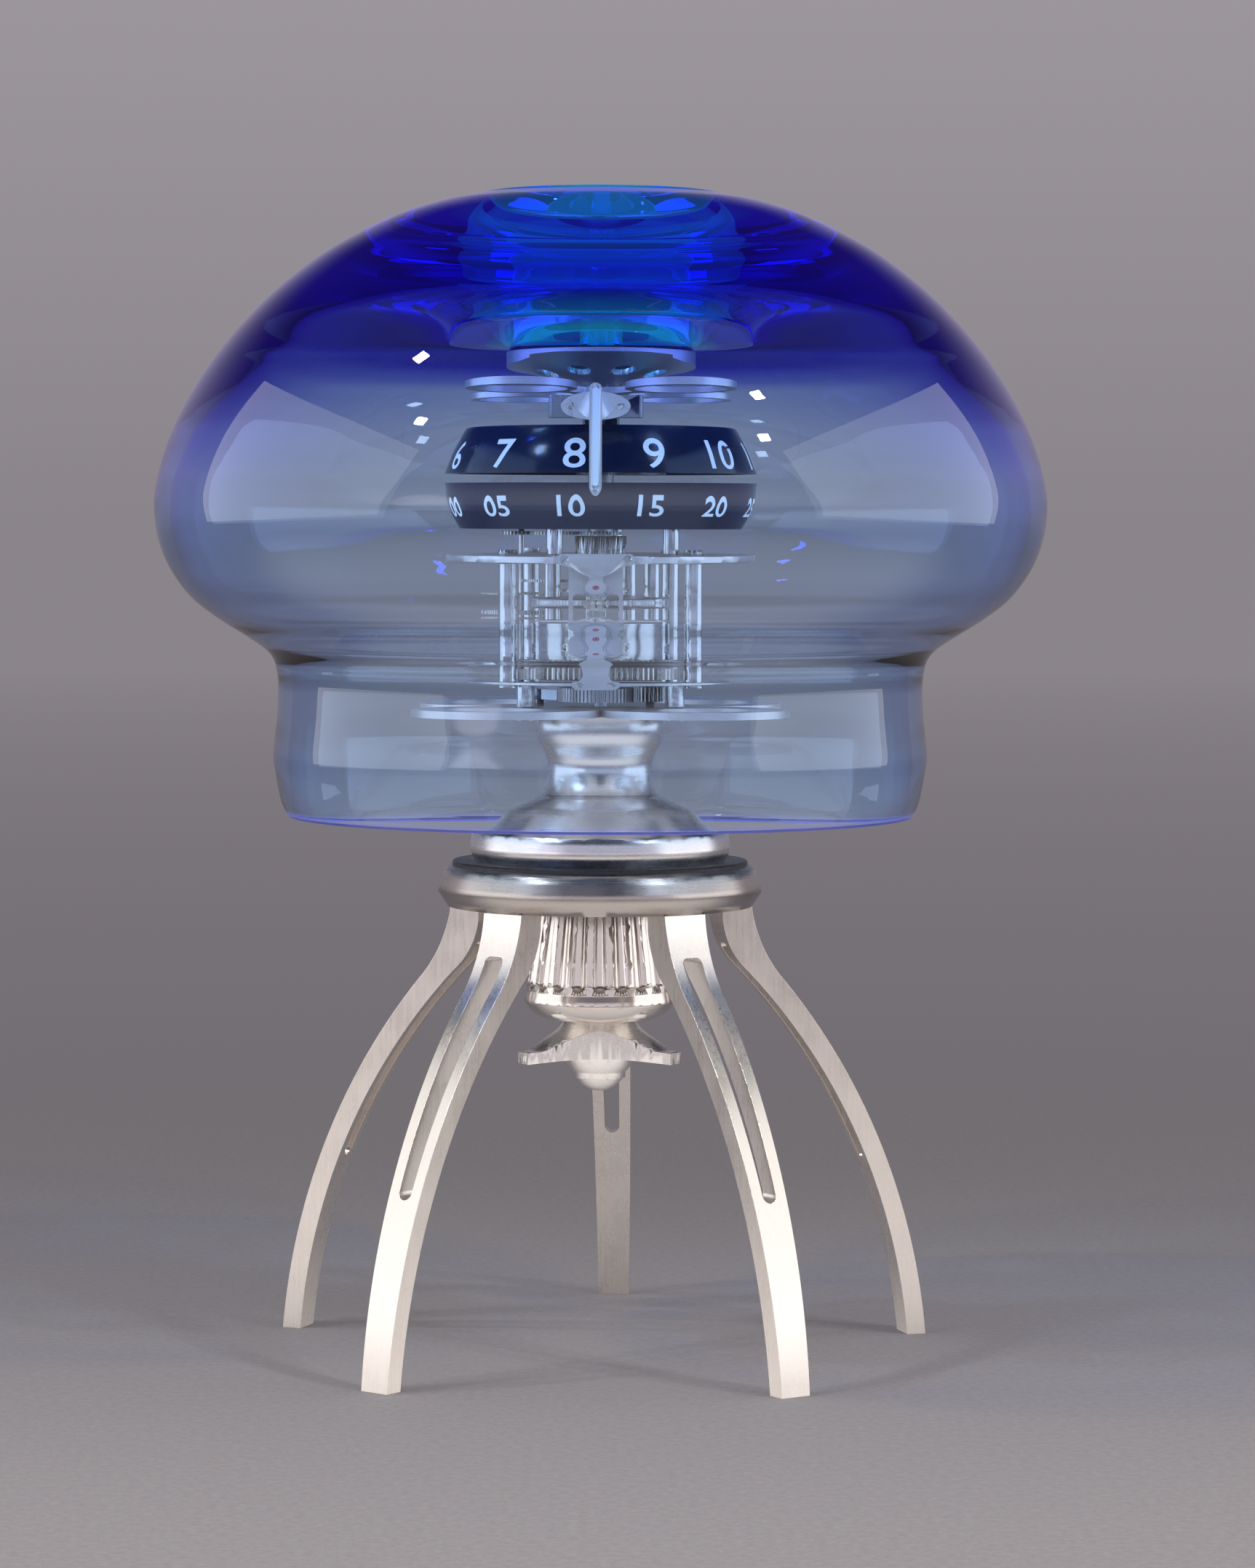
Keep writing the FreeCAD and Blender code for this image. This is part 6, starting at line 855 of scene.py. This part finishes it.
def make_floor():
    deselect_all()
    bpy.ops.mesh.primitive_circle_add(
        vertices=FLOOR_CORNERS, radius=FLOOR_RADIUS, fill_type="NGON", location=(0, 0, 0),
    )
    floor = bpy.context.object
    floor.name = "floor"
    material = bpy.data.materials.new("floor_grey")
    material.use_nodes = True
    tree = material.node_tree
    shader = tree.nodes["Principled BSDF"]
    shader.inputs["Roughness"].default_value = FLOOR_ROUGHNESS
    shader.inputs["Specular IOR Level"].default_value = FLOOR_GLOSS
    place = add_node(tree, "ShaderNodeTexCoord")
    split = add_node(tree, "ShaderNodeSeparateXYZ")
    tree.links.new(place.outputs["Object"], split.inputs[0])
    # Painted light and shade: the floor's colour is lighter in front and darker behind, as light falls off.
    painted_falloff = fade_between(tree, split.outputs["Y"], *PAINTED_FALLOFF_DEPTHS)
    grit = add_node(tree, "ShaderNodeTexNoise")
    grit.inputs["Scale"].default_value = GRIT_SCALE
    grit.inputs["Detail"].default_value = GRIT_DETAIL
    grit.inputs["Roughness"].default_value = GRIT_ROUGHNESS
    tree.links.new(place.outputs["Object"], grit.inputs["Vector"])
    mottled = add_node(tree, "ShaderNodeMix", data_type="RGBA", blend_type="OVERLAY")
    mottled.inputs[0].default_value = GRIT_STRENGTH
    tree.links.new(tone_between(tree, painted_falloff, PAINTED_LIT_FRONT, PAINTED_SHADE_BACK), mottled.inputs[6])
    tree.links.new(grit.outputs["Fac"], mottled.inputs[7])
    tree.links.new(mottled.outputs[2], shader.inputs["Base Color"])
    length = add_node(tree, "ShaderNodeVectorMath", operation="LENGTH")
    tree.links.new(place.outputs["Object"], length.inputs[0])
    distance = length.outputs["Value"]
    far = fade_between(tree, distance, *HORIZON_DISTANCES, "LINEAR")
    backdrop = tone_between(tree, far, BEND_TONE, HORIZON_TONE)
    shine = add_node(tree, "ShaderNodeEmission")
    tree.links.new(backdrop, shine.inputs["Color"])
    mix = add_node(tree, "ShaderNodeMixShader")
    tree.links.new(fade_between(tree, distance, *BEND_DISTANCES), mix.inputs[0])
    tree.links.new(shader.outputs[0], mix.inputs[1])
    tree.links.new(shine.outputs[0], mix.inputs[2])
    tree.links.new(mix.outputs[0], tree.nodes["Material Output"].inputs["Surface"])
    rays = add_node(tree, "ShaderNodeLightPath")
    near = fade_between(tree, split.outputs["Y"], *SHEEN_DEPTHS)
    lit = add_math(tree, "MULTIPLY", rays.outputs["Is Glossy Ray"], near)
    tree.links.new(add_math(tree, "MULTIPLY", lit, SHEEN_STRENGTH), shader.inputs["Emission Strength"])
    shader.inputs["Emission Color"].default_value = (*SHEEN_TONE, 1)
    floor.data.materials.append(material)
    return floor


floor = make_floor()
print("Floor corners:", len(floor.data.vertices))

# %% [markdown]
# A large soft box stands on each side of the clock. Glass and polished metal show it as a pale shape with a
# sharp front edge. Four small lamps above give the sparks on the shoulders of the glass.

# %% Lights
LIT_POINT = (0, 0, 0.22)
BOX_PLACE = (1.45, -0.1, 0.62)
BOX_SIZE = (1.9, 1.2)
BOX_POWER = 9
LAMPS = [(-1.126, -0.243, 1.955), (-1.30, -0.90, 1.605), (1.08, -0.755, 1.84), (1.23, -1.15, 1.48)]
LAMP_SIZE = (0.09, 0.09)
LAMP_POWER = 5.5


def soft_box(name, place, size, power):
    """A rectangular light that faces the clock."""
    data = bpy.data.lights.new(name, "AREA")
    data.shape = "RECTANGLE"
    data.size = size[0]
    data.size_y = size[1]
    data.energy = power
    light = bpy.data.objects.new(name, data)
    scene.collection.objects.link(light)
    way = Vector(LIT_POINT) - Vector(place)
    light.matrix_world = Matrix.Translation(place) @ way.to_track_quat("-Z", "Y").to_matrix().to_4x4()
    return light


for side, hand in ((-1, "left"), (1, "right")):
    soft_box(f"soft_{hand}", (side * BOX_PLACE[0], *BOX_PLACE[1:]), BOX_SIZE, BOX_POWER)
for index, place in enumerate(LAMPS, 1):
    soft_box(f"lamp_{index}", place, LAMP_SIZE, LAMP_POWER)
print("Lights:", len(bpy.data.lights))

# %% [markdown]
# The world is what the clock stands in. It gives even soft light all round. The camera sees it as the
# backdrop above the horizon, also through the glass. Mirrors see a room instead: a bright wall in front with
# one narrow streak at the left, and a dark roof, so that the cobalt top stays deep.

# %% World
AMBIENT_TONE = (0.46, 0.445, 0.46)
WALL_HEIGHTS = (0.0, 0.11)
CEILING_HEIGHTS = (0.2, 0.8)
CEILING_TONE = (1.25, 1.25, 1.3)
FRONT_DEPTHS = (-0.2, -0.8)
FRONT_GAIN = 1.7
STREAK_WAY = (-0.7, -0.714)
STREAK_EDGES = (0.982, 0.992)
STREAK_GAIN = 5.0
ROOF_HEIGHTS = (0.15, 0.5)
ROOF_TONE = 0.02


def make_world():
    """Even soft light, a backdrop for the camera and a room for mirrors."""
    world = bpy.data.worlds.new("studio")
    world.use_nodes = True
    tree = world.node_tree
    background = tree.nodes["Background"]
    background.inputs["Color"].default_value = (*AMBIENT_TONE, 1)
    place = add_node(tree, "ShaderNodeTexCoord")
    split = add_node(tree, "ShaderNodeSeparateXYZ")
    tree.links.new(place.outputs["Generated"], split.inputs[0])
    rise = fade_between(tree, split.outputs["Z"], *WALL_HEIGHTS, "LINEAR")
    wall = tone_between(tree, rise, HORIZON_TONE, TOP_TONE)
    overhead = fade_between(tree, split.outputs["Z"], *CEILING_HEIGHTS)
    ceiling = tone_between(tree, overhead, (1, 1, 1), CEILING_TONE)
    shaded = add_node(tree, "ShaderNodeMix", data_type="RGBA", blend_type="MULTIPLY")
    shaded.inputs[0].default_value = 1
    tree.links.new(wall, shaded.inputs[6])
    tree.links.new(ceiling, shaded.inputs[7])
    seen = add_node(tree, "ShaderNodeBackground")
    tree.links.new(shaded.outputs[2], seen.inputs["Color"])
    mirrored = add_node(tree, "ShaderNodeBackground")
    tree.links.new(wall, mirrored.inputs["Color"])
    in_front = fade_between(tree, split.outputs["Y"], *FRONT_DEPTHS)
    along_x = add_math(tree, "MULTIPLY", split.outputs["X"], STREAK_WAY[0])
    along_y = add_math(tree, "MULTIPLY", split.outputs["Y"], STREAK_WAY[1])
    aside = fade_between(tree, add_math(tree, "ADD", along_x, along_y), *STREAK_EDGES)
    streak = add_math(tree, "MULTIPLY", aside, STREAK_GAIN)
    front = add_math(tree, "ADD", add_math(tree, "MULTIPLY", in_front, FRONT_GAIN), streak)
    roof = add_math(tree, "SUBTRACT", 1.0, fade_between(tree, split.outputs["Z"], *ROOF_HEIGHTS))
    strength = add_math(tree, "MULTIPLY", add_math(tree, "ADD", front, 1.0), roof)
    tree.links.new(add_math(tree, "ADD", strength, ROOF_TONE), mirrored.inputs["Strength"])
    rays = add_node(tree, "ShaderNodeLightPath")
    either = add_math(tree, "MAXIMUM", rays.outputs["Is Camera Ray"], rays.outputs["Is Transmission Ray"])
    mix = add_node(tree, "ShaderNodeMixShader")
    tree.links.new(either, mix.inputs[0])
    tree.links.new(background.outputs[0], mix.inputs[1])
    tree.links.new(seen.outputs[0], mix.inputs[2])
    choose = add_node(tree, "ShaderNodeMixShader")
    tree.links.new(rays.outputs["Is Glossy Ray"], choose.inputs[0])
    tree.links.new(mix.outputs[0], choose.inputs[1])
    tree.links.new(mirrored.outputs[0], choose.inputs[2])
    tree.links.new(choose.outputs[0], tree.nodes["World Output"].inputs["Surface"])
    scene.world = world


make_world()
scene.view_settings.view_transform = "Standard"
print("World:", scene.world.name, "nodes:", len(scene.world.node_tree.nodes))

# %% [markdown]
# At the end, nothing is left selected.

# %% Finish
deselect_all()
